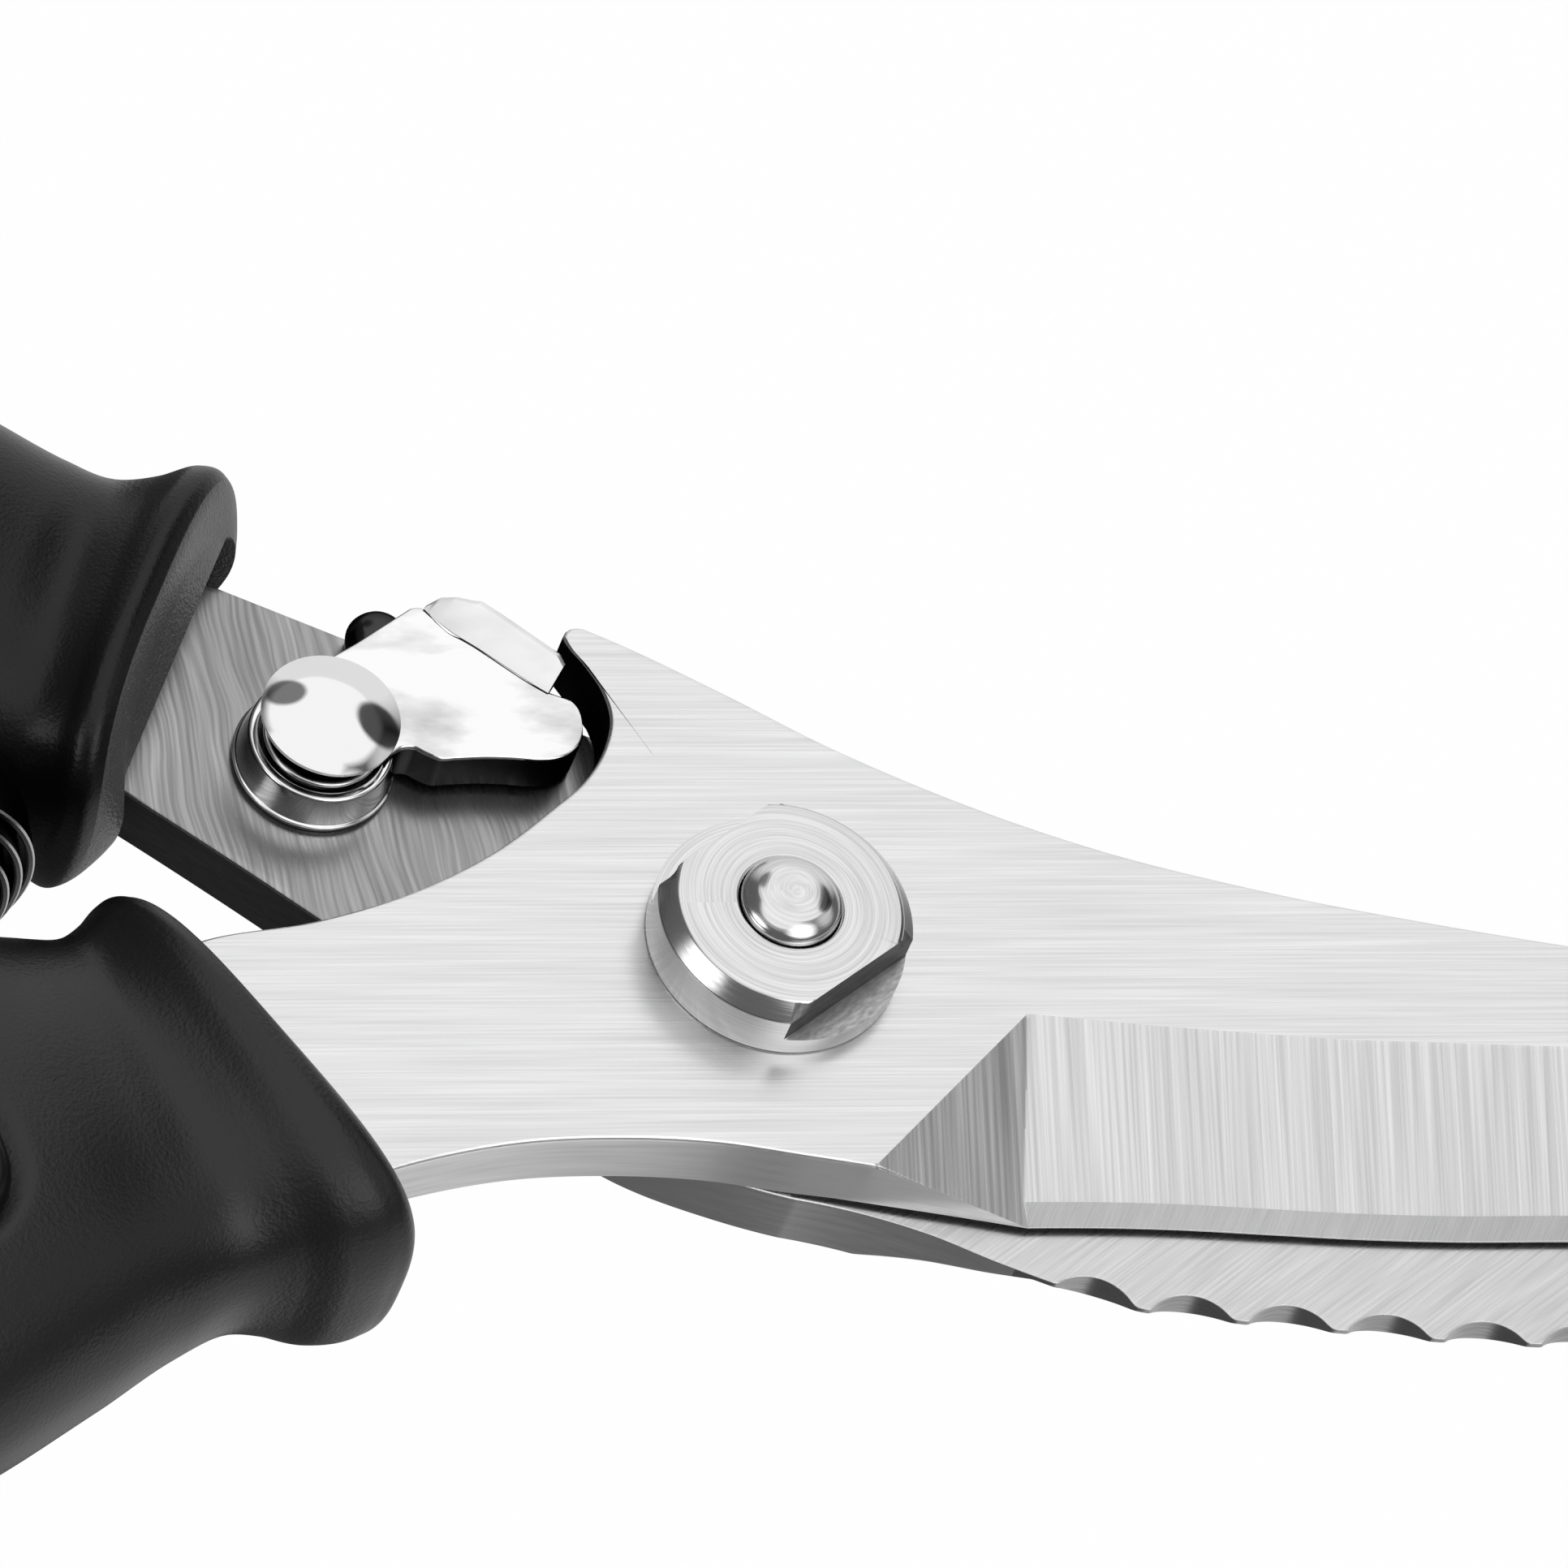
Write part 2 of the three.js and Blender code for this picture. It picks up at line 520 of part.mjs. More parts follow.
add("spring_peg_lower", pegs.lower, FINISH.turned);
add("volute_spring", springBody(), FINISH.spring);

for (const made of held) made.delete();

export default shears;
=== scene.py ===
"""Poultry shears with a sprung handle and a thumb latch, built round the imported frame.

Lengths in the classes are millimetres in the frame's axes: X to the tips, Y to the upper handle,
Z out of the flat of the blades. Meshes are written in metres.
"""

import logging
import math
from dataclasses import dataclass, field
from enum import Enum, IntEnum

import bmesh
import bpy
import numpy as np
from mathutils import Matrix, Vector


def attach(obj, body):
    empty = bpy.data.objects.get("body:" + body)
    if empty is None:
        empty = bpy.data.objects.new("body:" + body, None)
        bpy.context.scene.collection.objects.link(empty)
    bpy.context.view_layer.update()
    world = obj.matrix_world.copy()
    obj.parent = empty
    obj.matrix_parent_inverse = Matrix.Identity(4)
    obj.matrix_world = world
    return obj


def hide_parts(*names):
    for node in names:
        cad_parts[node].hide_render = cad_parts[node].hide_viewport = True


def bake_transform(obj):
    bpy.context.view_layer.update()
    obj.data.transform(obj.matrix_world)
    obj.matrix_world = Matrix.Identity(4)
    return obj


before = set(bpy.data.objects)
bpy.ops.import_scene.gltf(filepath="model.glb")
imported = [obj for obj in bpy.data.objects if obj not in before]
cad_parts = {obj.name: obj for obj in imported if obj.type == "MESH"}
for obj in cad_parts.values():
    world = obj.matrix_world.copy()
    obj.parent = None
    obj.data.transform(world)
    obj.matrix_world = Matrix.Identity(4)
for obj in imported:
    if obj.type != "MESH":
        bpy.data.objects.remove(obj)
log = logging.getLogger("shears")

MM = 0.001
SEAM = 6.0  # inner face of the rear blade
STOCK = 3.8  # thickness of each blade
GAP = 0.1  # running gap between the blades
FACE = SEAM + GAP + STOCK  # outer face of the front blade
STUD = (-21.6, 13.5)  # latch pivot
BREAK = 0.12  # the small corner on a plate's back edges

Array = np.ndarray


class Body(Enum):
    """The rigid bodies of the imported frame."""

    REAR = "rear_half"
    FRONT = "front_half"
    LATCH = "latch"


class Row(IntEnum):
    """Which part of a plate's section a line of points is on."""

    FRONT = 1
    BACK = 2
    FOOT = 3


# ---------------------------------------------------------------- curves and surfaces


def smooth(points: list[tuple[float, float]], step: float) -> Array:
    """A smooth plane curve through a few points.

    Formula: cubic Hermite pieces on chord length, whose tangents are the finite differences of the
    neighbouring chords, so the curve doesn't overshoot.

    Args:
        points: the points that the curve passes through.
        step: the distance between samples.

    Returns:
        An array of samples, with both ends kept.
    """
    p = np.asarray(points, float)
    if len(p) == 2:
        count = max(2, int(np.hypot(*(p[1] - p[0])) / step) + 1)
        return p[0] + np.linspace(0, 1, count)[:, None] * (p[1] - p[0])
    chord = np.hypot(*np.diff(p, axis=0).T)
    at = np.concatenate([[0], np.cumsum(chord)])
    slope = np.diff(p, axis=0) / chord[:, None]
    tangent = np.empty_like(p)
    share = (chord[:-1] / (chord[:-1] + chord[1:]))[:, None]
    tangent[1:-1] = slope[:-1] * (1 - share) + slope[1:] * share
    tangent[0], tangent[-1] = 2 * slope[0] - tangent[1], 2 * slope[-1] - tangent[-2]
    u = np.linspace(0, at[-1], max(3, int(at[-1] / step) + 1))
    k = np.clip(np.searchsorted(at, u, side="right") - 1, 0, len(chord) - 1)
    h = chord[k][:, None]
    t = ((u - at[k]) / chord[k])[:, None]
    return (
        p[k] * (2 * t**3 - 3 * t**2 + 1)
        + tangent[k] * h * (t**3 - 2 * t**2 + t)
        + p[k + 1] * (3 * t**2 - 2 * t**3)
        + tangent[k + 1] * h * (t**3 - t**2)
    )


def joined(runs: list[Array]) -> Array:
    """Runs of samples end to end, without the repeated end points."""
    return np.concatenate([runs[0]] + [r[1:] for r in runs[1:]])


def resampled(curve: Array, stations: Array) -> Array:
    """Points of a sampled curve at given shares of its length, along straight lines between samples."""
    at = np.concatenate([[0], np.cumsum(np.hypot(*np.diff(curve, axis=0).T))])
    return np.stack([np.interp(stations * at[-1], at, curve[:, i]) for i in range(2)], axis=1)


def share_at(curve: Array, point: tuple[float, float]) -> float:
    """The share of a curve's length at its sample nearest to a point."""
    at = np.concatenate([[0], np.cumsum(np.hypot(*np.diff(curve, axis=0).T))])
    return float(at[np.argmin(np.hypot(*(curve - np.asarray(point)).T))] / at[-1])


def crossing(values: Array, level: float | Array, t: Array) -> Array:
    """Where each row of rising values reaches a level.

    Formula: the count of values under the level picks the interval, and a straight line in it gives
    the place.

    Args:
        values: rows that rise along axis 1.
        level: one level, or one for each row.
        t: the parameter of each column.

    Returns:
        One parameter for each row.
    """
    level = np.broadcast_to(np.asarray(level, float), values.shape[:1])
    k = np.clip((values < level[:, None]).sum(1), 1, values.shape[1] - 1)
    row = np.arange(len(values))
    low, high = values[row, k - 1], values[row, k]
    part = np.clip((level - low) / np.where(high - low == 0, 1, high - low), 0, 1)
    return t[k - 1] + part * (t[k] - t[k - 1])


def grid_quads(rows: int, columns: int, wrap_rows: bool, wrap_columns: bool, start: int = 0) -> Array:
    """Quads between neighbouring points of a grid.

    Args:
        rows: the number of rows.
        columns: the number of points in a row.
        wrap_rows: whether the last row joins the first.
        wrap_columns: whether the last point of a row joins its first.
        start: the index of the grid's first point.

    Returns:
        An array of four indices per quad.
    """
    i = np.arange(rows if wrap_rows else rows - 1)
    j = np.arange(columns if wrap_columns else columns - 1)
    i, j = (a.ravel() for a in np.meshgrid(i, j, indexing="ij"))
    i2, j2 = (i + 1) % rows, (j + 1) % columns
    return start + np.stack([i * columns + j, i * columns + j2, i2 * columns + j2, i2 * columns + j], 1)


class Shell:
    """A mesh put together from grids of points, in millimetres."""

    def __init__(self) -> None:
        """Starts an empty shell."""
        self.points: list[Array] = []
        self.faces: list[list[int]] = []
        self.slots: list[int] = []
        self.count = 0

    def grid(
        self,
        points: Array,
        wrap_rows: bool = False,
        wrap_columns: bool = True,
        caps: bool = True,
        slots: Array | int = 0,
    ) -> "Shell":
        """Adds a surface given on a grid of points.

        Args:
            points: rows by columns by three.
            wrap_rows: whether the last row joins the first.
            wrap_columns: whether each row is a closed ring.
            caps: whether the first and last rings are closed with a face.
            slots: the material of every quad, or one for each.

        Returns:
            The shell.
        """
        rows, columns = points.shape[:2]
        quads = grid_quads(rows, columns, wrap_rows, wrap_columns, self.count)
        self.points.append(points.reshape(-1, 3))
        self.faces += quads.tolist()
        self.slots += np.broadcast_to(slots, len(quads)).tolist()
        if caps and wrap_columns and not wrap_rows:
            first = list(range(self.count, self.count + columns))
            last = list(range(self.count + (rows - 1) * columns, self.count + rows * columns))
            self.faces += [first[::-1], last]
            self.slots += [int(self.slots[-1])] * 2
        self.count += rows * columns
        return self

    def lathe(
        self,
        profile: list[tuple[float, float]],
        centre: tuple[float, float] = (0.0, 0.0),
        segments: int = 128,
        slots: Array | int = 0,
    ) -> "Shell":
        """Adds a round surface about an axis along Z.

        Formula: each profile pair (r, z) is carried round the axis as (r cos a, r sin a, z).

        Args:
            profile: radius and height pairs. It starts and ends on the axis, or closes on itself.
            centre: the axis.
            segments: the number of steps round the axis.
            slots: the material of every quad, or one for each.

        Returns:
            The shell.
        """
        rz = np.asarray(profile, float)
        a = np.linspace(0, 2 * math.pi, segments, endpoint=False)
        x = centre[0] + rz[:, :1] * np.cos(a)
        y = centre[1] + rz[:, :1] * np.sin(a)
        z = np.broadcast_to(rz[:, 1:], x.shape)
        closed = bool(np.allclose(rz[0], rz[-1]))
        points = np.stack([x, y, z], -1)[: -1 if closed else None]
        return self.grid(points, wrap_rows=closed, caps=False, slots=slots)

    def piece(self, name: str, finishes: list["Finish"], crease: float = 28.0) -> bpy.types.Object:
        """Makes the Blender object.

        Args:
            name: the object's name.
            finishes: one finish for each material number.
            crease: the angle in degrees from which an edge is sharp.

        Returns:
            The object, linked to the scene.
        """
        mesh = bpy.data.meshes.new(name)
        mesh.from_pydata((np.concatenate(self.points) * MM).tolist(), [], self.faces)
        mesh.polygons.foreach_set("material_index", self.slots)
        cleaned = bmesh.new()
        cleaned.from_mesh(mesh)
        bmesh.ops.remove_doubles(cleaned, verts=cleaned.verts, dist=2e-6)
        bmesh.ops.dissolve_degenerate(cleaned, edges=cleaned.edges, dist=1e-7)
        bmesh.ops.recalc_face_normals(cleaned, faces=cleaned.faces)
        cleaned.to_mesh(mesh)
        cleaned.free()
        mesh.polygons.foreach_set("use_smooth", [True] * len(mesh.polygons))
        mesh.set_sharp_from_angle(angle=math.radians(crease))
        for finish in finishes:
            mesh.materials.append(finish.material())
        made = bpy.data.objects.new(name, mesh)
        bpy.context.collection.objects.link(made)
        return made


def settle(piece: bpy.types.Object, body: Body, slot: str, *nodes: str) -> bpy.types.Object:
    """Puts a piece on its body, hides the nodes that it stands for and logs its faces."""
    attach(piece, body.value)
    if nodes:
        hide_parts(*nodes)
    log.info("%s: %d faces", piece.name, len(piece.data.polygons))
    return piece


def rounded(corners: list[tuple[float, float, float]], arc: int = 4) -> list[tuple[float, float]]:
    """A closed or open profile whose corners are rounded.

    Formula: each corner is replaced by a quadratic curve between the two points that lie its radius
    away from it on its sides.

    Args:
        corners: x, y and corner radius.
        arc: the number of steps round each corner.

    Returns:
        The profile's points, with the first and last corners kept sharp.
    """
    c = np.asarray(corners, float)
    made: list[tuple[float, float]] = [tuple(c[0, :2])]
    for before, corner, after in zip(c[:-2], c[1:-1], c[2:]):
        if corner[2] == 0:
            made.append(tuple(corner[:2]))
            continue
        way_in, way_out = before[:2] - corner[:2], after[:2] - corner[:2]
        a = corner[:2] + way_in / np.hypot(*way_in) * corner[2]
        b = corner[:2] + way_out / np.hypot(*way_out) * corner[2]
        t = np.linspace(0, 1, arc + 1)[:, None]
        made += [tuple(q) for q in (1 - t) ** 2 * a + 2 * t * (1 - t) * corner[:2] + t**2 * b]
    made.append(tuple(c[-1, :2]))
    return made


# ---------------------------------------------------------------- finishes


class Nodes:
    """A short way to write a shader tree."""

    def __init__(self, tree: bpy.types.NodeTree) -> None:
        """Takes the tree that nodes are added to."""
        self.tree = tree

    def add(self, kind: str, settings: dict | None = None, **sockets: object) -> bpy.types.Node:
        """Adds a node.

        Args:
            kind: the node type, without the ShaderNode prefix.
            settings: values of the node's own properties.
            **sockets: values or links of its inputs, by name, with _ for a space.

        Returns:
            The node.
        """
        node = self.tree.nodes.new(kind if kind.startswith("Node") else "ShaderNode" + kind)
        for key, value in (settings or {}).items():
            setattr(node, key, value)
        for key, value in sockets.items():
            socket = node.inputs[int(key[1:])] if key[0] == "i" and key[1:].isdigit() else (
                node.inputs[key.replace("_", " ")]
            )
            if isinstance(value, bpy.types.NodeSocket):
                self.tree.links.new(value, socket)
            else:
                socket.default_value = value
        return node

    def maths(self, operation: str, *values: object) -> bpy.types.NodeSocket:
        """Adds a Math node on one, two or three values, and returns its result."""
        sockets = {f"i{k}": v for k, v in enumerate(values)}
        return self.add("Math", {"operation": operation}, **sockets).outputs[0]

    def ranged(self, value: object, low: float, high: float, to: tuple[float, float]) -> bpy.types.NodeSocket:
        """Maps a value from one range to another, clamped, and returns the result."""
        return self.add(
            "MapRange", Value=value, From_Min=low, From_Max=high, To_Min=to[0], To_Max=to[1]
        ).outputs[0]

    def blended(self, share: object, a: object, b: object) -> bpy.types.NodeSocket:
        """Mixes two colours by a share, and returns the colour."""
        node = self.add("Mix", {"data_type": "RGBA"})
        for socket, value in ((node.inputs[0], share), (node.inputs[6], a), (node.inputs[7], b)):
            if isinstance(value, bpy.types.NodeSocket):
                self.tree.links.new(value, socket)
            else:
                socket.default_value = value
        return node.outputs[2]


def effect(name: str, inputs: dict[str, tuple[str, object]], outputs: list[str]) -> tuple[
    bpy.types.NodeTree, Nodes, bpy.types.Node, bpy.types.Node, bool
]:
    """A shader node group with named sockets, made once.

    Args:
        name: the group's name.
        inputs: kind and first value of each input.
        outputs: the names of the outputs, which are numbers.

    Returns:
        The group, its writer, its input and output nodes, and whether it is new.
    """
    found = bpy.data.node_groups.get(name)
    if found:
        return found, Nodes(found), found.nodes["in"], found.nodes["out"], False
    group = bpy.data.node_groups.new(name, "ShaderNodeTree")
    for key, (kind, value) in inputs.items():
        socket = group.interface.new_socket(key, in_out="INPUT", socket_type="NodeSocket" + kind)
        if kind != "Vector":
            socket.default_value = value
    for key in outputs:
        group.interface.new_socket(key, in_out="OUTPUT", socket_type="NodeSocketFloat")
    writer = Nodes(group)
    start, end = writer.add("NodeGroupInput"), writer.add("NodeGroupOutput")
    start.name, end.name = "in", "out"
    return group, writer, start, end, True


def ground_lines() -> bpy.types.NodeTree:
    """Fine lines left by a grinding belt.

    Formula: noise that is stretched along X and read at a fine pitch along Y, at two pitches, with a
    slow noise that makes some bands stronger.
    """
    group, n, start, end, new = effect(
        "ground_lines",
        {"Vector": ("Vector", None), "Pitch": ("Float", 0.0002), "Length": ("Float", 0.01),
         "Rise": ("Float", 0.0)},
        ["Lines", "Bands"],
    )
    if not new:
        return group
    axes = n.add("SeparateXYZ", Vector=start.outputs["Vector"])
    along = n.maths("DIVIDE", axes.outputs[0], start.outputs["Length"])
    across = n.maths("DIVIDE", axes.outputs[1], start.outputs["Pitch"])
    up = n.maths("DIVIDE", axes.outputs[2], start.outputs["Pitch"])
    place = n.add("CombineXYZ", X=along, Y=across, Z=n.maths("MULTIPLY", up, start.outputs["Rise"]))
    fine = n.add("TexNoise", Vector=place.outputs[0], Scale=1.0, Detail=1.0)
    wide = n.add("CombineXYZ", X=n.maths("MULTIPLY", along, 0.6), Y=n.maths("MULTIPLY", across, 0.16), Z=0.0)
    bands = n.add("TexNoise", Vector=wide.outputs[0], Scale=1.0, Detail=3.0)
    n.tree.links.new(fine.outputs[0], end.inputs["Lines"])
    n.tree.links.new(bands.outputs[0], end.inputs["Bands"])
    return group


def fine_grain() -> bpy.types.NodeTree:
    """The grain of a moulded or blasted surface: cells of one size, with finer noise in them."""
    group, n, start, end, new = effect(
        "fine_grain", {"Vector": ("Vector", None), "Size": ("Float", 0.0002)}, ["Height", "Patches"]
    )
    if not new:
        return group
    scale = n.maths("DIVIDE", 1.0, start.outputs["Size"])
    place = start.outputs["Vector"]
    cells = n.add("TexVoronoi", Vector=place, Scale=scale)
    rough = n.add("TexNoise", Vector=place, Scale=n.maths("MULTIPLY", scale, 1.7), Detail=3.0)
    height = n.maths("ADD", n.maths("MULTIPLY", cells.outputs["Distance"], 0.5), rough.outputs[0])
    patches = n.add("TexNoise", Vector=place, Scale=n.maths("MULTIPLY", scale, 0.012), Detail=3.0)
    n.tree.links.new(height, end.inputs["Height"])
    n.tree.links.new(patches.outputs[0], end.inputs["Patches"])
    return group


def dust_and_sheen_specks() -> bpy.types.NodeTree:
    """Light specks, for dust and for painted sheen: the peaks of a fine noise, thinned by a slow one."""
    group, n, start, end, new = effect(
        "dust_and_sheen_specks", {"Vector": ("Vector", None), "Amount": ("Float", 0.2)}, ["Mask"]
    )
    if not new:
        return group
    specks = n.add("TexNoise", Vector=start.outputs["Vector"], Scale=3800.0, Detail=1.0)
    slow = n.add("TexNoise", Vector=start.outputs["Vector"], Scale=90.0, Detail=2.0)
    peaks = n.ranged(specks.outputs[0], 0.68, 0.78, (0.0, 1.0))
    thin = n.ranged(slow.outputs[0], 0.45, 0.65, (0.0, 1.0))
    both = n.maths("MULTIPLY", n.maths("MULTIPLY", peaks, thin), start.outputs["Amount"])
    n.tree.links.new(both, end.inputs["Mask"])
    return group


class Finish:
    """A finish that makes its material once."""

    name = "finish"

    def material(self) -> bpy.types.Material:
        """The finish's material, made on first use. Its name is apart from those of the CAD's materials."""
        label = "finish_" + self.name
        found = bpy.data.materials.get(label)
        if found:
            return found
        made = bpy.data.materials.new(label)
        made.use_nodes = True
        self.write(Nodes(made.node_tree), made.node_tree.nodes["Principled BSDF"])
        return made

    def write(self, n: Nodes, shader: bpy.types.Node) -> None:
        """Writes the finish into a shader tree."""
        raise NotImplementedError


@dataclass(frozen=True)
class GroundSteel(Finish):
    """Steel ground with a belt, with lines in one direction."""

    name: str
    tone: float = 0.83
    roughness: float = 0.3
    angle: float = 0.0  # degrees, of the lines from X
    pitch: float = 0.16  # mm
    length: float = 9.0  # mm
    depth: float = 0.12  # strength of the bump
    contrast: float = 0.1  # darkening in the lines
    bands: float = 0.1  # change of tone between bands
    waves: float = 0.0  # mm, how far the lines wander
    upright: bool = False  # lines on a wall, which cross the plate's edge
    rim: float = 1.0  # tint at grazing angles

    def write(self, n: Nodes, shader: bpy.types.Node) -> None:
        """Writes metal whose tone, roughness and height follow the belt's lines."""
        place = n.add("TexCoord").outputs["Object"]
        if self.waves:
            slow = n.add("TexNoise", Vector=place, Scale=160.0, Detail=1.0)
            reach = self.waves * MM
            shift = n.add("VectorMath", {"operation": "SCALE"}, i0=slow.outputs["Color"], Scale=reach)
            place = n.add("VectorMath", {"operation": "ADD"}, i0=place, i1=shift.outputs[0]).outputs[0]
        turn = (math.radians(90), 0.0, 0.0) if self.upright else (0.0, 0.0, -math.radians(self.angle))
        turned = n.add("Mapping", Vector=place, Rotation=turn)
        lines = n.add("Group", {"node_tree": ground_lines()}, Vector=turned.outputs[0])
        lines.inputs["Pitch"].default_value = self.pitch * MM
        lines.inputs["Length"].default_value = self.length * MM
        lines.inputs["Rise"].default_value = 0.3 if self.upright else 0.0
        dark = self.tone * (1 - self.contrast)
        tone = n.blended(
            n.ranged(lines.outputs["Lines"], 0.3, 0.7, (0.0, 1.0)),
            (dark, dark, dark * 1.004, 1),
            (self.tone, self.tone, self.tone * 1.006, 1),
        )
        banded = n.ranged(lines.outputs["Bands"], 0.3, 0.7, (1 - self.bands, 1.0))
        grey = n.add("CombineColor", Red=banded, Green=banded, Blue=banded)
        mixed = n.add("Mix", {"data_type": "RGBA", "blend_type": "MULTIPLY"})
        mixed.inputs[0].default_value = 1.0
        n.tree.links.new(tone, mixed.inputs[6])
        n.tree.links.new(grey.outputs[0], mixed.inputs[7])
        n.tree.links.new(mixed.outputs[2], shader.inputs["Base Color"])
        rough = n.ranged(lines.outputs["Lines"], 0.3, 0.7, (self.roughness + 0.05, self.roughness - 0.04))
        n.tree.links.new(rough, shader.inputs["Roughness"])
        shader.inputs["Metallic"].default_value = 1.0
        shader.inputs["Specular Tint"].default_value = (self.rim, self.rim, self.rim, 1)
        bump = n.add("Bump", Height=lines.outputs["Lines"], Strength=self.depth, Distance=0.00003)
        n.tree.links.new(bump.outputs[0], shader.inputs["Normal"])


@dataclass(frozen=True)
class TurnedSteel(Finish):
    """Steel turned on a lathe about an axis along Z."""

    name: str
    centre: tuple[float, float] = (0.0, 0.0)
    tone: float = 0.8
    roughness: float = 0.22
    pitch: float = 0.1
    contrast: float = 0.12

    def write(self, n: Nodes, shader: bpy.types.Node) -> None:
        """Writes metal with lines at a steady pitch outwards from the axis."""
        place = n.add("TexCoord").outputs["Object"]
        moved = n.add("Mapping", Vector=place, Location=(-self.centre[0] * MM, -self.centre[1] * MM, 0.0))
        axes = n.add("SeparateXYZ", Vector=moved.outputs[0])
        x, y = axes.outputs[0], axes.outputs[1]
        radius = n.maths("SQRT", n.maths("ADD", n.maths("MULTIPLY", x, x), n.maths("MULTIPLY", y, y)))
        turn = n.maths("ARCTAN2", y, x)
        across = n.add(
            "CombineXYZ",
            X=n.maths("DIVIDE", radius, self.pitch * MM),
            Y=n.maths("MULTIPLY", turn, 0.7),
            Z=n.maths("DIVIDE", axes.outputs[2], self.pitch * MM),
        )
        lines = n.add("TexNoise", Vector=across.outputs[0], Scale=1.0, Detail=2.0)
        dark = self.tone * (1 - self.contrast)
        tone = n.blended(
            n.ranged(lines.outputs[0], 0.32, 0.66, (0.0, 1.0)), (dark, dark, dark, 1), (self.tone,) * 3 + (1,)
        )
        n.tree.links.new(tone, shader.inputs["Base Color"])
        rough = n.ranged(lines.outputs[0], 0.3, 0.7, (self.roughness + 0.06, self.roughness - 0.05))
        n.tree.links.new(rough, shader.inputs["Roughness"])
        shader.inputs["Metallic"].default_value = 1.0
        bump = n.add("Bump", Height=lines.outputs[0], Strength=0.15, Distance=0.00003)
        n.tree.links.new(bump.outputs[0], shader.inputs["Normal"])


@dataclass(frozen=True)
class Polished(Finish):
    """Plated or polished metal with faint handling haze."""

    name: str
    tone: float = 0.9
    roughness: float = 0.05
    clouds: float = 0.03  # darkening of the haze
    cloud_scale: float = 420.0
    rim: float = 1.0  # tint at grazing angles

    def write(self, n: Nodes, shader: bpy.types.Node) -> None:
        """Writes a mirror with slightly uneven gloss and ripple."""
        place = n.add("TexCoord").outputs["Object"]
        turned = n.add("Mapping", Vector=place, Rotation=(0.0, 0.0, math.radians(35)), Scale=(0.45, 1.0, 1.0))
        haze = n.add("TexNoise", Vector=turned.outputs[0], Scale=self.cloud_scale, Detail=4.0)
        rough = n.ranged(haze.outputs[0], 0.4, 0.7, (self.roughness, self.roughness + 0.07))
        n.tree.links.new(rough, shader.inputs["Roughness"])
        tone = n.ranged(haze.outputs[0], 0.5, 0.72, (self.tone, self.tone * (1 - self.clouds)))
        grey = n.add("CombineColor", Red=tone, Green=tone, Blue=tone)
        n.tree.links.new(grey.outputs[0], shader.inputs["Base Color"])
        shader.inputs["Metallic"].default_value = 1.0
        shader.inputs["Specular Tint"].default_value = (self.rim, self.rim, self.rim, 1)
        ripple = n.add("TexNoise", Vector=place, Scale=900.0, Detail=1.0)
        bump = n.add("Bump", Height=ripple.outputs[0], Strength=0.04, Distance=0.0001)
        n.tree.links.new(bump.outputs[0], shader.inputs["Normal"])


@dataclass(frozen=True)
class MouldedRubber(Finish):
    """Black moulded rubber or plastic with a fine grain and light specks: a little dust, and painted sheen
    where the specks are many.
    """

    name: str
    colour: float = 0.018
    roughness: float = 0.46
    grain: float = 0.11  # mm
    depth: float = 0.35
    dust_and_sheen: float = 0.18
    specular: float = 0.5

    def write(self, n: Nodes, shader: bpy.types.Node) -> None:
        """Writes a dark dielectric with grain in its height and slow patches in its gloss."""
        place = n.add("TexCoord").outputs["Object"]
        grain = n.add("Group", {"node_tree": fine_grain()}, Vector=place)
        grain.inputs["Size"].default_value = self.grain * MM
        dust_and_sheen = n.add("Group", {"node_tree": dust_and_sheen_specks()}, Vector=place)
        dust_and_sheen.inputs["Amount"].default_value = self.dust_and_sheen
        c = self.colour
        # The specks blend the colour towards grey: dust, and painted sheen where the amount is high.
        colour = n.blended(dust_and_sheen.outputs["Mask"], (c, c, c * 1.04, 1), (0.2, 0.2, 0.2, 1))
        n.tree.links.new(colour, shader.inputs["Base Color"])
        rough = n.ranged(grain.outputs["Patches"], 0.35, 0.65, (self.roughness - 0.05, self.roughness + 0.06))
        n.tree.links.new(rough, shader.inputs["Roughness"])
        shader.inputs["Specular IOR Level"].default_value = self.specular
        bump = n.add("Bump", Height=grain.outputs["Height"], Strength=self.depth, Distance=0.00003)
        n.tree.links.new(bump.outputs[0], shader.inputs["Normal"])


BLADE_FACE = GroundSteel(
    "blade_face", tone=0.92, roughness=0.3, angle=0, pitch=0.12, length=12, contrast=0.1, bands=0.1
)
BLADE_BEVEL = GroundSteel(
    "blade_bevel", tone=0.86, roughness=0.26, angle=88, pitch=0.17, length=14, contrast=0.2,
    bands=0.16, depth=0.25,
)
BLADE_EDGE = GroundSteel(
    "blade_edge", tone=0.6, roughness=0.24, angle=62, pitch=0.12, length=2, contrast=0.1, bands=0.08
)
BLADE_PLUNGE = GroundSteel(
    "blade_plunge", tone=0.8, roughness=0.26, angle=88, pitch=0.24, length=12, contrast=0.34,
    bands=0.3, depth=0.3,
)
BLADE_WALL = GroundSteel(
    "blade_wall", tone=0.74, roughness=0.36, upright=True, pitch=0.3, length=8, contrast=0.08
)
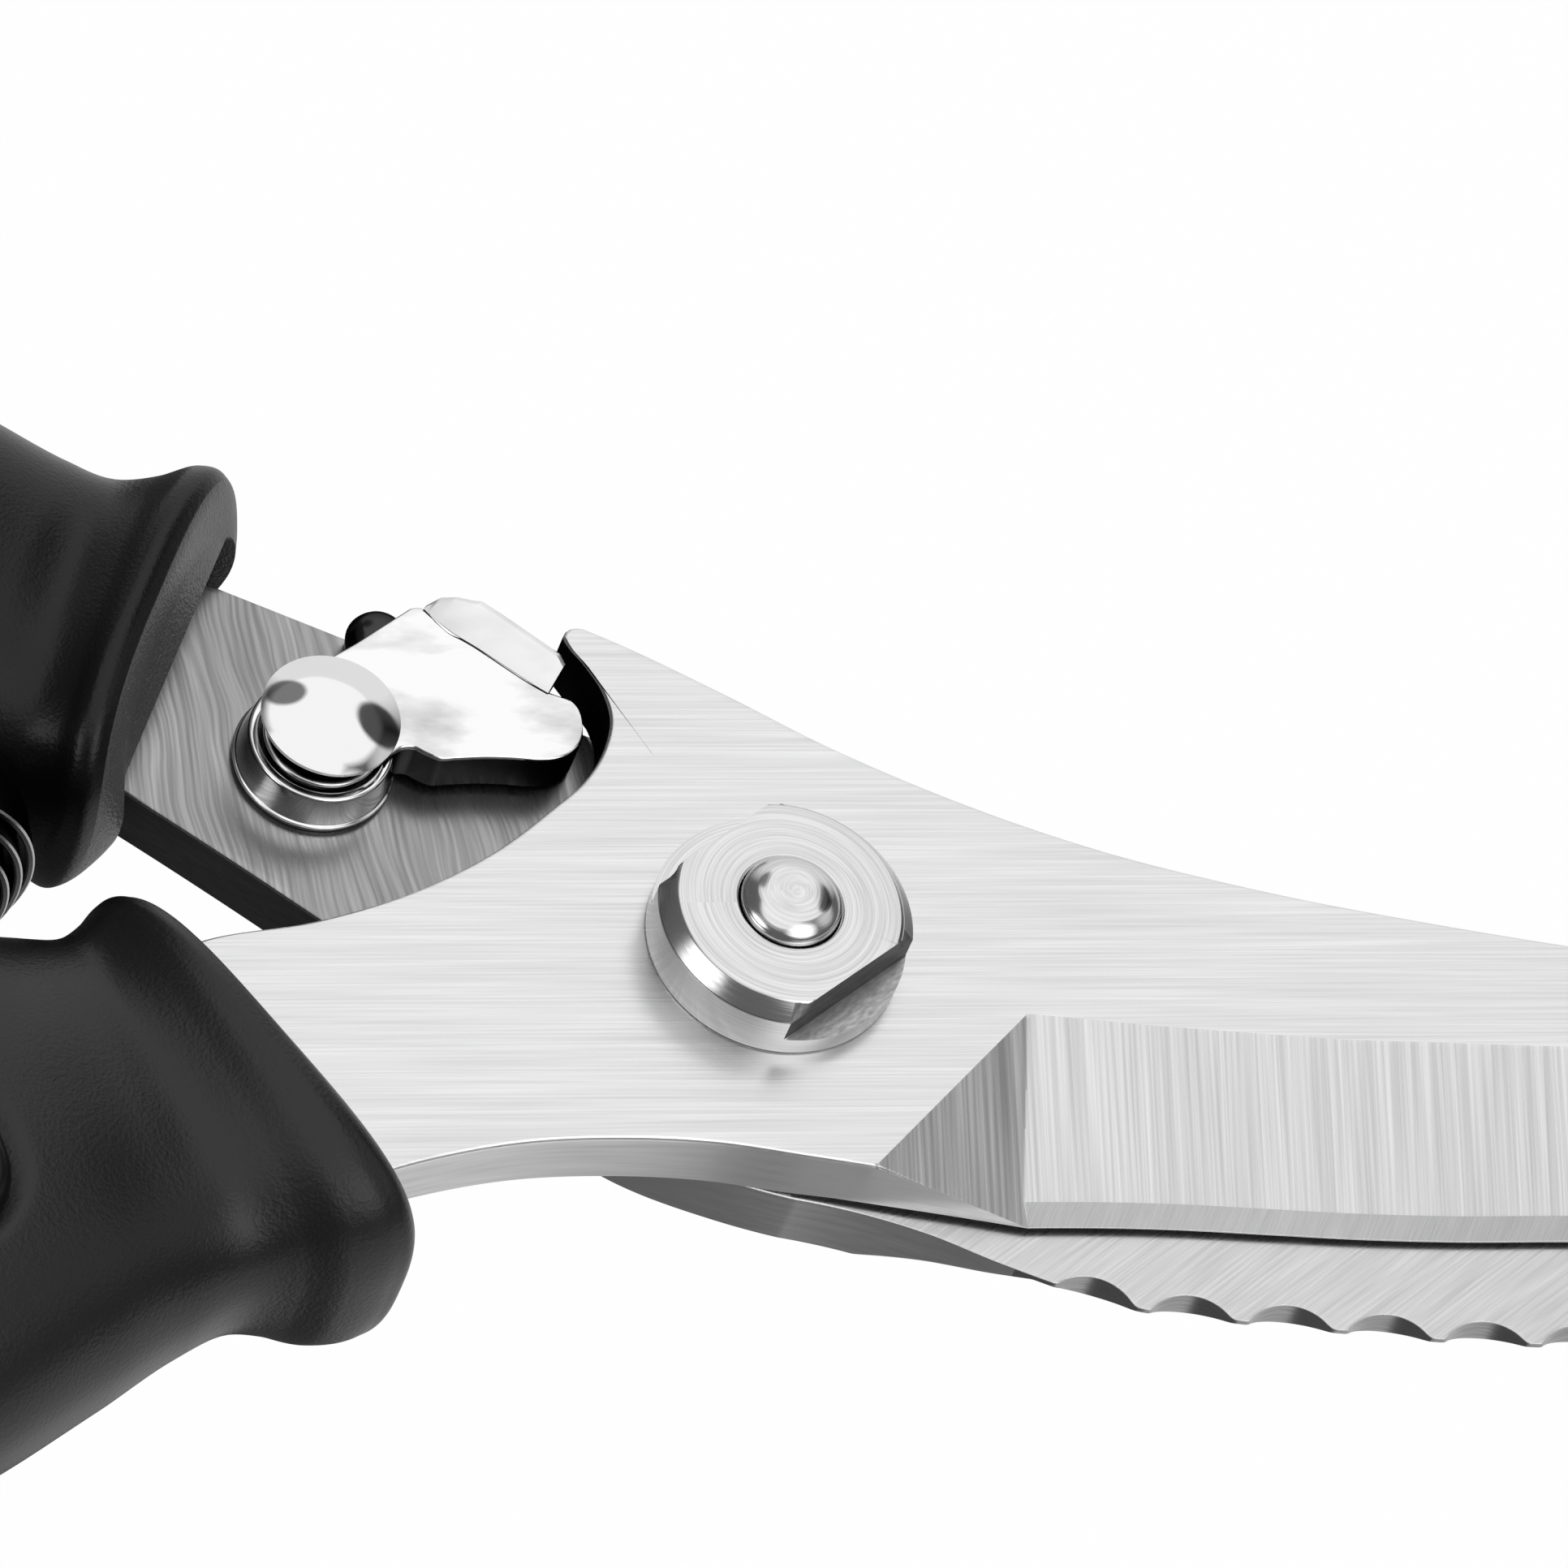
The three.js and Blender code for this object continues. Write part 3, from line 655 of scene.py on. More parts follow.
# Near-black steel: painted shade on the notch's walls and on the relief faces under the cutting edge.
PAINTED_SHADE_STEEL = GroundSteel(
    "painted_shade_steel", tone=0.03, roughness=0.4, upright=True, pitch=0.3, length=6, contrast=0.2, rim=0.1
)
REAR_FACE = GroundSteel(
    "rear_face", tone=0.52, roughness=0.28, angle=93, pitch=0.24, length=9, contrast=0.36,
    bands=0.3, waves=1.3,
)
REAR_WALL = GroundSteel(
    "rear_wall", tone=0.15, roughness=0.45, upright=True, pitch=0.25, length=3, contrast=0.2, rim=0.3
)
REAR_LOWER = GroundSteel(
    "rear_lower", tone=0.78, roughness=0.3, angle=35, pitch=0.14, length=5, contrast=0.12
)
TOOTH_WALL = GroundSteel(
    "tooth_wall", tone=0.42, roughness=0.28, upright=True, pitch=0.2, length=3, contrast=0.2
)
TURNED_NUT = TurnedSteel("turned_nut", tone=0.84, roughness=0.2, contrast=0.22)
NUT_SIDE = TurnedSteel("nut_side", tone=0.6, roughness=0.2, contrast=0.1)
NUT_FLAT = GroundSteel(
    "nut_flat", tone=0.4, roughness=0.34, upright=True, pitch=0.3, length=3, contrast=0.3, rim=0.3
)
NUT_SHELF = GroundSteel(
    "nut_shelf", tone=0.62, roughness=0.36, angle=34, pitch=0.2, length=0.6, contrast=0.35
)
TURNED_BOLT = TurnedSteel("turned_bolt", tone=0.84, roughness=0.16, pitch=0.14, contrast=0.18)
WASHER_STEEL = TurnedSteel("washer_steel", centre=STUD, tone=0.12, roughness=0.35)
MIRROR = Polished("mirror_chrome")
LEVER_CHROME = Polished("lever_chrome", tone=0.97, roughness=0.08, clouds=0.42, cloud_scale=360.0)
FLANGE_CHROME = Polished("flange_chrome", tone=0.95, roughness=0.3, clouds=0.08)
# Near-black copy of the chrome: painted shade on the lever's walls, the eye's recess, the flange's root, the
# small stop and the stud's shank and neck.
LATCH_PAINTED_SHADE = Polished("latch_painted_shade", tone=0.06, roughness=0.2, rim=0.3)
RING_STEEL = Polished("ring_steel", tone=0.8, roughness=0.12)
STRIP_STEEL = Polished("strip_steel", tone=0.03, roughness=0.25, rim=0.5)
STRIP_EDGE = Polished("strip_edge", tone=0.5, roughness=0.2)
# The upper grip's copy of the rubber has a darker colour and a weaker gloss than the lower grip's: painted
# shade.
UPPER_GRIP_SHADED = MouldedRubber(
    "upper_grip", colour=0.003, roughness=0.3, specular=0.34, grain=0.3, depth=0.7, dust_and_sheen=0.05
)
LOWER_GRIP = MouldedRubber(
    "lower_grip", colour=0.005, roughness=0.36, specular=0.5, grain=0.3, depth=0.7, dust_and_sheen=0.05
)
# Lighter copy of the grip rubber with many bright specks: painted light on the collar's mouth and the upper
# collar's end face.
COLLAR_PAINTED_LIGHT = MouldedRubber(
    "collar_painted_light", colour=0.045, roughness=0.36, specular=1.0, grain=0.24, depth=2.5, dust_and_sheen=0.9
)
INLAY = MouldedRubber("inlay", colour=0.003, roughness=0.3, grain=0.3, depth=0.05, dust_and_sheen=0.03, specular=0.36)
CORE = MouldedRubber("core", colour=0.012, roughness=0.55, grain=0.2, specular=0.3)


# ---------------------------------------------------------------- blades


@dataclass
class BladePlate:
    """A forged and ground plate between a top and a bottom boundary.

    Formula: the plan is ruled by straight rungs T(1-t) + B t between matching points of the two
    boundaries. Along each rung the section is the back face, the two walls with their rounded corners,
    and the front face lowered by the grinds. The samples on a rung gather at the lines where a grind
    starts.
    """

    top: Array
    bottom: Array
    pairs: list[tuple[tuple[float, float], tuple[float, float]]]
    low: float
    high: float
    step: float = 0.3
    corner: float = 0.28
    corner_steps: int = 4
    shares: tuple = (0, 0.02, 0.2, 0.4, 0.6, 0.8, 0.98)
    back_shares: tuple = (0.25, 0.5, 0.75)

    def rungs(self) -> tuple[Array, Array]:
        """The matching points of the two boundaries."""
        a = np.array([share_at(self.top, p) for p, _ in self.pairs])
        b = np.array([share_at(self.bottom, q) for _, q in self.pairs])
        lengths = [np.hypot(*np.diff(c, axis=0).T).sum() for c in (self.top, self.bottom)]
        spans = np.maximum(np.diff(a) * lengths[0], np.diff(b) * lengths[1])
        counts = np.maximum(2, (spans / self.step).astype(int))
        knots = np.concatenate(
            [np.linspace(k, k + 1, c, endpoint=False) for k, c in enumerate(counts)] + [[len(counts)]]
        )
        index = np.arange(len(self.pairs))
        on_top, on_bottom = np.interp(knots, index, a), np.interp(knots, index, b)
        return resampled(self.top, on_top), resampled(self.bottom, on_bottom)

    @staticmethod
    def along(top: Array, bottom: Array, t: Array) -> Array:
        """Points on the rungs, for one parameter row per rung."""
        t = t[..., None]
        return top[:, None] * (1 - t) + bottom[:, None] * t

    def front(self, x: Array, y: Array) -> Array:
        """How high the front face is. A blade with grinds overrides it."""
        return np.full_like(x, self.high)

    def back(self, x: Array, y: Array) -> Array:
        """How high the back face is. A blade with grinds overrides it."""
        return np.full_like(x, self.low)

    def lines(self, fine: Array, t: Array) -> list[Array]:
        """The parameters where the front face's grinds start on each rung, from top to bottom."""
        return []

    def back_lines(self, fine: Array, t: Array) -> list[Array]:
        """The parameters where the back face's grinds start on each rung, from bottom to top."""
        return []

    def corners(self, top: Array, bottom: Array) -> tuple[Array, Array]:
        """The radii of the front corners at the two boundaries."""
        return np.full(len(top), self.corner), np.full(len(top), self.corner)

    def chamfer(self, top: Array, bottom: Array) -> tuple[Array, Array]:
        """Height and inset of the back corner at the bottom boundary."""
        return np.full(len(top), BREAK), np.full(len(top), BREAK)

    def quads(self) -> tuple[Array, Array, Array, Array]:
        """The grid, the middles of its quads, and the kinds of the columns before and after each quad."""
        grid, kinds = self.surface()
        middle = (grid[:-1] + grid[1:]) / 2
        middle = (middle + np.roll(middle, -1, axis=1)) / 2
        return grid, middle, kinds, np.roll(kinds, -1)

    def surface(self) -> tuple[Array, Array]:
        """The grid of points, and the kind of each column.

        Formula: the columns go once round the section: up the top wall, over the front face between the
        lines where its grinds start, down the bottom wall, and back under the back face.
        """
        top, bottom = self.rungs()
        t = np.concatenate([[0], np.geomspace(1e-3, 0.2, 60), np.linspace(0.21, 0.99, 180), [1]])
        fine = self.along(top, bottom, np.broadcast_to(t, (len(top), len(t))))
        from_top = np.hypot(*np.moveaxis(fine - top[:, None], 2, 0))
        from_bottom = np.hypot(*np.moveaxis(fine - bottom[:, None], 2, 0))
        length = np.hypot(*(bottom - top).T)
        r_top, r_bottom = (np.minimum(r, 0.2 * length) for r in self.corners(top, bottom))
        cut_height, cut_inset = self.chamfer(top, bottom)

        def inset_top(distance: Array) -> Array:
            """The parameters at a distance from the top boundary."""
            return crossing(np.maximum.accumulate(from_top, axis=1), distance, t)

        def inset_bottom(distance: Array) -> Array:
            """The parameters at a distance from the bottom boundary."""
            rising = np.maximum.accumulate(from_bottom[:, ::-1], axis=1)
            return crossing(rising, distance, t[::-1])

        columns: list[Array] = []
        drops: list[Array] = []
        kinds: list[Row] = []

        def put(parameter: Array, drop: Array | float, kind: Row) -> None:
            """Adds a column at a parameter, let down from its face by a drop."""
            columns.append(parameter)
            drops.append(np.broadcast_to(drop, parameter.shape))
            kinds.append(kind)

        quarter = np.linspace(0, math.pi / 2, self.corner_steps + 1)
        back_start = inset_top(np.minimum(BREAK, 0.1 * length))
        first, last = inset_top(r_top), inset_bottom(r_bottom)
        anchors = [first, *(np.minimum(np.maximum(a, first), last) for a in self.lines(fine, t)), last]
        put(back_start, 0.0, Row.BACK)
        put(np.zeros(len(top)), BREAK, Row.FOOT)
        for angle in quarter[:-1]:
            put(inset_top(r_top * (1 - math.cos(angle))), r_top * (1 - math.sin(angle)), Row.FRONT)
        for a, b in zip(anchors[:-1], anchors[1:]):
            for share in self.shares:
                put(a + (b - a) * share, 0.0, Row.FRONT)
        put(last, 0.0, Row.FRONT)
        for angle in quarter[1:]:
            put(inset_bottom(r_bottom * (1 - math.sin(angle))), r_bottom * (1 - math.cos(angle)), Row.FRONT)
        columns[-1] = np.ones(len(top))
        put(np.ones(len(top)), cut_height, Row.FOOT)
        turn = inset_bottom(cut_inset)
        put(turn, 0.0, Row.BACK)
        held = (np.minimum(np.maximum(a, back_start), turn) for a in self.back_lines(fine, t))
        marks = [turn, *held, back_start]
        for a, b in zip(marks[:-1], marks[1:]):
            for share in self.back_shares:
                put(a + (b - a) * share, 0.0, Row.BACK)
            if b is not back_start:
                put(b, 0.0, Row.BACK)
        plan = self.along(top, bottom, np.stack(columns, 1))
        x, y = plan[..., 0], plan[..., 1]
        kind = np.array(kinds)
        drop = np.stack(drops, 1)
        high, low = self.front(x, y), self.back(x, y)
        z = np.where(kind == Row.FRONT, high - drop, np.where(kind == Row.BACK, low, low + drop))
        z = np.maximum(z, low)
        feet = kind == Row.FOOT
        z[:, feet] = np.minimum(z[:, feet], high[:, feet] - 0.02)
        return np.dstack([x, y, z]), kind


@dataclass
class FrontBlade(BladePlate):
    """The upper jaw, in front, with the latch notch behind the pivot."""

    top: Array = field(default_factory=lambda: joined([
        smooth([(-112, -21.5), (-92, -21), (-76, -18.6), (-62, -14.8), (-50, -10.4), (-40, -5.4), (-35.5, -2),
                (-30, 0.4), (-24, 1.5), (-18, 3.5), (-14, 5.6), (-10.5, 8.2), (-8.3, 10.1), (-7, 12),
                (-6.35, 14), (-6.5, 15.5), (-7.2, 17.2), (-7.95, 18.5), (-8.1, 19.0), (-7.65, 19.45),
                (-7.0, 19.45)], 0.05),
        smooth([(-7.0, 19.45), (-6.3, 19.1), (0, 15.4), (5, 12.2), (10, 9.5), (15, 7.2), (20, 5.3),
                (25, 3.8), (30, 2.5), (35, 1.4), (42, 0), (60, -2.8), (80, -7), (95, -12), (104, -16.4),
                (105.5, -17.7)], 0.1),
    ]))
    bottom: Array = field(default_factory=lambda: joined([
        smooth([(-112, -29.6), (-92, -29.4), (-76, -27.4), (-62, -24.2), (-50, -21), (-40, -18.6),
                (-32, -16.6), (-25, -14.3), (-20, -12.8), (-15, -11.9), (-10, -11.7), (-5, -12),
                (0, -12.9), (3.2, -13.5), (8, -14.4), (12, -15.2)], 0.1),
        smooth([(12, -15.2), (20, -15.4), (25, -15.75), (30, -16.1), (35, -16.3), (41, -16.35), (60, -16.9),
                (80, -17.4), (95, -17.9), (105.2, -18.3)], 0.1),
    ]))
    pairs: list = field(default_factory=lambda: [
        ((-112, -21.5), (-112, -29.6)), ((-62, -14.8), (-62, -24.2)), ((-40, -5.4), (-36, -17.6)),
        ((-30, 0.4), (-24, -14)), ((-18, 3.5), (-12, -11.75)), ((-10.5, 8.2), (-4, -12.1)),
        ((-7, 12), (2, -13.25)), ((-6.5, 15.5), (6, -14.0)), ((-7.2, 17.2), (7.8, -14.35)),
        ((-8.1, 19.0), (9.2, -14.6)), ((-7.0, 19.45), (9.6, -14.7)), ((0, 15.4), (10.4, -14.9)),
        ((10, 9.5), (11.6, -15.1)), ((14, 7.65), (12, -15.2)), ((20, 5.3), (18.5, -15.37)),
        ((42, 0), (41, -16.35)), ((80, -7), (80, -17.4)), ((104, -16.4), (104, -18.26)),
        ((105.5, -17.7), (105.2, -18.3)),
    ])
    low: float = SEAM + GAP
    high: float = FACE
    shoulder: tuple = ((13, -4.4), (20, -5.2), (30, -6.1), (42, -6.6), (60, -8.2), (80, -11), (95, -14),
                       (105, -17))
    strip: float = 1.25
    strip_height: float = 0.85
    edge_height: float = 0.36
    start: tuple = (3.2, -13.5)
    notch_corner: tuple = (-5.8, 8)
    sunk: float = 0.004
    margin: float = 0.02

    def edge_y(self, x: Array) -> Array:
        """The lower boundary's height at x."""
        keep = self.bottom[:, 0] > -20
        return np.interp(x, self.bottom[keep, 0], self.bottom[keep, 1])

    def shoulder_y(self, x: Array) -> Array:
        """Where the face turns down into a grind: the plunge's edge, then the bevel's shoulder."""
        line = np.array([self.start, *self.shoulder])
        return np.where(x < self.start[0], self.edge_y(x) - 1, np.interp(x, line[:, 0], line[:, 1]))

    def front(self, x: Array, y: Array) -> Array:
        """Lowest of the face and the grinds.

        Formula: the bevel is a straight ramp from the shoulder to the strip's upper line, and the
        strip a steeper ramp to the edge. The plunge is a plane through three points. The ground height
        is the higher of bevel and plunge, and the face caps it.
        """
        edge = self.edge_y(x)
        base = self.low
        bevel_shoulder = np.interp(x, *np.array(self.shoulder).T)
        top_of_strip = edge + self.strip
        ramp = (self.high - base - self.strip_height) / np.maximum(bevel_shoulder - top_of_strip, 0.2)
        bevel = base + self.strip_height + (y - top_of_strip) * ramp
        steep = (self.strip_height - self.edge_height) / self.strip
        strip = base + self.edge_height + (y - edge) * steep
        ground = np.where(y < top_of_strip, strip, bevel)
        return np.minimum(self.high, np.maximum(ground, self.plunge(x, y)))

    def plunge(self, x: Array, y: Array) -> Array:
        """The height of the plunge's plane."""
        a = np.array([*self.start, self.high])
        b = np.array([*self.shoulder[0], self.high])
        c = np.array([12, -15.2, self.low + self.edge_height])
        normal = np.cross(b - a, c - a)
        return a[2] - (normal[0] * (x - a[0]) + normal[1] * (y - a[1])) / normal[2]

    def lines(self, fine: Array, t: Array) -> list[Array]:
        """The shoulder and the strip's upper line on each rung."""
        x, y = fine[..., 0], fine[..., 1]
        shoulder = crossing(np.maximum.accumulate(self.shoulder_y(x) - y, axis=1), 0.0, t)
        strip = crossing(np.maximum.accumulate(self.edge_y(x) + self.strip - y, axis=1), 0.0, t)
        return [shoulder, np.maximum(strip, shoulder)]

    def corners(self, top: Array, bottom: Array) -> tuple[Array, Array]:
        """The corner is round on the tang and fades to the cutting edge."""
        fade = np.interp(bottom[:, 0], [2, 6], [1, 0])
        return np.full(len(top), self.corner), 0.03 + (self.corner - 0.03) * fade

    def chamfer(self, top: Array, bottom: Array) -> tuple[Array, Array]:
        """The relief under the start of the cutting edge."""
        height = np.interp(bottom[:, 0], [-1.0, 2, 11.5, 80], [0.12, 0.3, 0.32, 0.2])
        return height, height * 0.8

    def build(self) -> bpy.types.Object:
        """Builds the blade, with its faces sorted by finish."""
        finishes = [BLADE_FACE, BLADE_WALL, BLADE_BEVEL, BLADE_EDGE, BLADE_PLUNGE, PAINTED_SHADE_STEEL]
        face, wall, bevel, strip, plunge, notch = range(len(finishes))
        grid, middle, kind, following = self.quads()
        x, y, z = np.moveaxis(middle, 2, 0)
        front = (kind == Row.FRONT) & (following == Row.FRONT)
        slots = np.full(x.shape, wall)
        slots[:, front | ((kind == Row.BACK) & (following == Row.BACK))] = face
        ground = np.broadcast_to(front, x.shape) & (x > self.start[0])
        ground = ground & (z < self.high - self.sunk) & (y < self.shoulder_y(x) + self.margin)
        slots[ground] = bevel
        slots[ground & (y < self.edge_y(x) + self.strip)] = strip
        slots[ground & (self.plunge(x, y) >= self.front(x, y) - self.margin)] = plunge
        # The notch's walls take the near-black steel, painted shade.
        slots[(slots == wall) & (x < self.notch_corner[0]) & (y > self.notch_corner[1])] = notch
        # The relief faces past x = 0 take it too, painted shade in the gap between the blades.
        relief = (kind == Row.FOOT) & (following == Row.BACK)
        slots[:, relief] = np.where(x[:, relief] > 0, notch, wall)
        piece = Shell().grid(grid, slots=slots.ravel()).piece("front_blade_plate", finishes, crease=20)
        return settle(piece, Body.FRONT, "blade_steel", "front_blade")


@dataclass
class RearBlade(BladePlate):
    """The lower jaw, behind, with a serrated back."""

    spine: tuple = ((0, -13.1), (6.7, -15.2), (10.5, -17.1), (17.2, -19.75), (22.6, -20.6), (28, -21.25),
                    (33.2, -21.85), (38, -22.2), (50, -22.6), (70, -21.9), (90, -19.7), (103, -17.4))
    first_gouge: float = 14.6
    pitch: float = 5.28
    gouges: int = 14
    gouge_radius: float = 2.6
    gouge_depth: float = 1.2
    back_slope: float = 1.1
    edge_reach: tuple = ((22, 103), (7.5, 2.2))
    lower_face: tuple = (-15, 3)
    tang_end: float = -13
    teeth: tuple = (11, -10)
    top: Array = field(default_factory=lambda: joined([
        smooth([(-112, 40.5), (-92, 41), (-76, 39.2), (-62, 36), (-50, 32.6), (-38, 28.6), (-30, 26.4),
                (-25, 24.5)], 0.1),
        smooth([(-25, 24.5), (-18.5, 21.3), (-7, 15.6), (0, 12.2), (8, 8.6), (13, 4.8), (18, -2),
                (24, -6.3)], 0.1),
        smooth([(24, -6.3), (40, -7.5), (60, -9), (80, -11.5), (95, -14.3), (103, -16.6),
                (103.6, -16.9)], 0.1),
    ]))
    bottom: Array = field(default_factory=lambda: np.zeros((2, 2)))
    pairs: list = field(default_factory=lambda: [
        ((-112, 40.5), (-112, 32.6)), ((-62, 36), (-62, 27)), ((-38, 28.6), (-38, 16.6)),
        ((-25, 24.5), (-29.5, 9.9)), ((-18.5, 21.3), (-24, 5.3)), ((-7, 15.6), (-14, -4.3)),
        ((0, 12.2), (-8.7, -9.4)), ((8, 8.6), (-2, -12.5)), ((13, 4.8), (4, -14.3)),
        ((18, -2), (12, -17.7)), ((24, -6.3), (21, -20.3)), ((40, -7.5), (40, -22.3)),
        ((80, -11.5), (80, -20.8)), ((103.6, -16.9), (103.4, -17.3)),
    ])
    low: float = SEAM - STOCK
    high: float = SEAM
    step: float = 0.16
    corner: float = 0.2

    def __post_init__(self) -> None:
        """Works out the bottom boundary: the tang and heel, then the serrated back.

        Formula: the back is the spine's line, lifted wherever a round gouge bites into it, which is
        the upper of the line and each gouge's circle. A short running mean rounds the teeth.
        """
        heel = smooth([(-112, 32.6), (-92, 32.6), (-76, 30.6), (-62, 27), (-50, 22.6), (-38, 16.6),
                       (-31.8, 11.8), (-26.5, 7.4), (-22.8, 4.2), (-19, 0.9), (-16, -2), (-12.5, -6),
                       (-8.7, -9.4), (-3.3, -12), (0, -13.1)], 0.1)
        x = np.arange(0, 103.4, 0.06)
        y = self.spine_y(x)
        centres = self.first_gouge + self.pitch * np.arange(self.gouges)
        depth = self.gouge_depth * np.interp(centres, [12, 17, 70, 90], [0.75, 1, 1, 0.7])
        lift = self.gouge_radius**2 - (x[:, None] - centres) ** 2
        circle = self.spine_y(centres) + depth - self.gouge_radius + np.sqrt(np.maximum(lift, 0))
        y = np.maximum(y, np.where(lift > 0, circle, -1e3).max(1))
        window = np.hanning(11)
        y = np.convolve(np.pad(y, 5, mode="edge"), window / window.sum(), "valid")
        self.bottom = joined([heel, np.stack([x, y], 1)])

    def spine_y(self, x: Array) -> Array:
        """The line of the blade's back before the gouges."""
        line = smooth(list(self.spine), 0.2)
        return np.interp(x, line[:, 0], line[:, 1])

    def cutting_y(self, x: Array) -> Array:
        """The line of the cutting edge."""
        edge = self.top[self.top[:, 0] > 20]
        return np.interp(x, edge[:, 0], edge[:, 1])

    def back(self, x: Array, y: Array) -> Array:
        """The back face, with a steep grind at the spine and a long one at the cutting edge.

        Formula: the spine's grind falls from just under the front face at a fixed slope, and the
        cutting edge's is a ramp whose reach narrows to the tip. The face is the higher of them.
        """
        fade = np.interp(x, [3, 12], [STOCK, 0])
        spine = self.high - 0.35 - (y - self.spine_y(x)) * self.back_slope - fade
        spine = np.where(x < 3, self.low, spine)
        reach = np.interp(x, *self.edge_reach)
        ramp = self.low + (1 - (self.cutting_y(x) - y) / reach) * (STOCK - 0.3)
        ramp = np.where(x < 19, self.low, ramp - np.interp(x, [19, 26], [STOCK, 0]))
        return np.minimum(self.high - 0.05, np.maximum(self.low, np.maximum(spine, ramp)))

    def back_lines(self, fine: Array, t: Array) -> list[Array]:
        """Where the spine's grind meets the back face, and where the cutting edge's grind does."""
        x, y = fine[..., 0], fine[..., 1]
        reach = (STOCK - 0.35) / self.back_slope
        line = self.spine_y(x) + reach - np.interp(x, [3, 12], [reach, 0])
        spine = crossing(np.maximum.accumulate(line - y, axis=1), 0.0, t)
        ramp = self.cutting_y(x) - np.interp(x, *self.edge_reach) * np.interp(x, [18, 22], [0, 1])
        other = crossing(np.maximum.accumulate(ramp - y, axis=1), 0.0, t)
        return [spine, np.minimum(other, spine)]

    def corners(self, top: Array, bottom: Array) -> tuple[Array, Array]:
        """The corner is round on the tang and nearly sharp along the teeth."""
        fade = np.interp(bottom[:, 0], [0, 8], [1, 0.3])
        return np.full(len(top), self.corner), self.corner * fade

    def chamfer(self, top: Array, bottom: Array) -> tuple[Array, Array]:
        """A light break on the back corner."""
        size = np.interp(bottom[:, 0], [3, 12], [0.12, 0.02])
        return size, size

    def build(self) -> bpy.types.Object:
        """Builds the blade, with its faces sorted by finish."""
        finishes = [REAR_FACE, REAR_WALL, REAR_LOWER, BLADE_WALL, TOOTH_WALL]
        face, tang_wall, lower, wall, tooth = range(len(finishes))
        grid, middle, kind, following = self.quads()
        x, y = middle[..., 0], middle[..., 1]
        front = (kind == Row.FRONT) & (following == Row.FRONT)
        slots = np.full(x.shape, tang_wall)
        slots[:, front | ((kind == Row.BACK) & (following == Row.BACK))] = face
        slots[np.broadcast_to(front, x.shape) & (x > self.lower_face[0]) & (y < self.lower_face[1])] = lower
        slots[(slots == tang_wall) & (x > self.tang_end)] = wall
        slots[(slots == wall) & (x > self.teeth[0]) & (y < self.teeth[1])] = tooth
        piece = Shell().grid(grid, slots=slots.ravel()).piece("rear_blade_plate", finishes, crease=20)
        return settle(piece, Body.REAR, "blade_steel", "rear_blade")


# ---------------------------------------------------------------- pivot


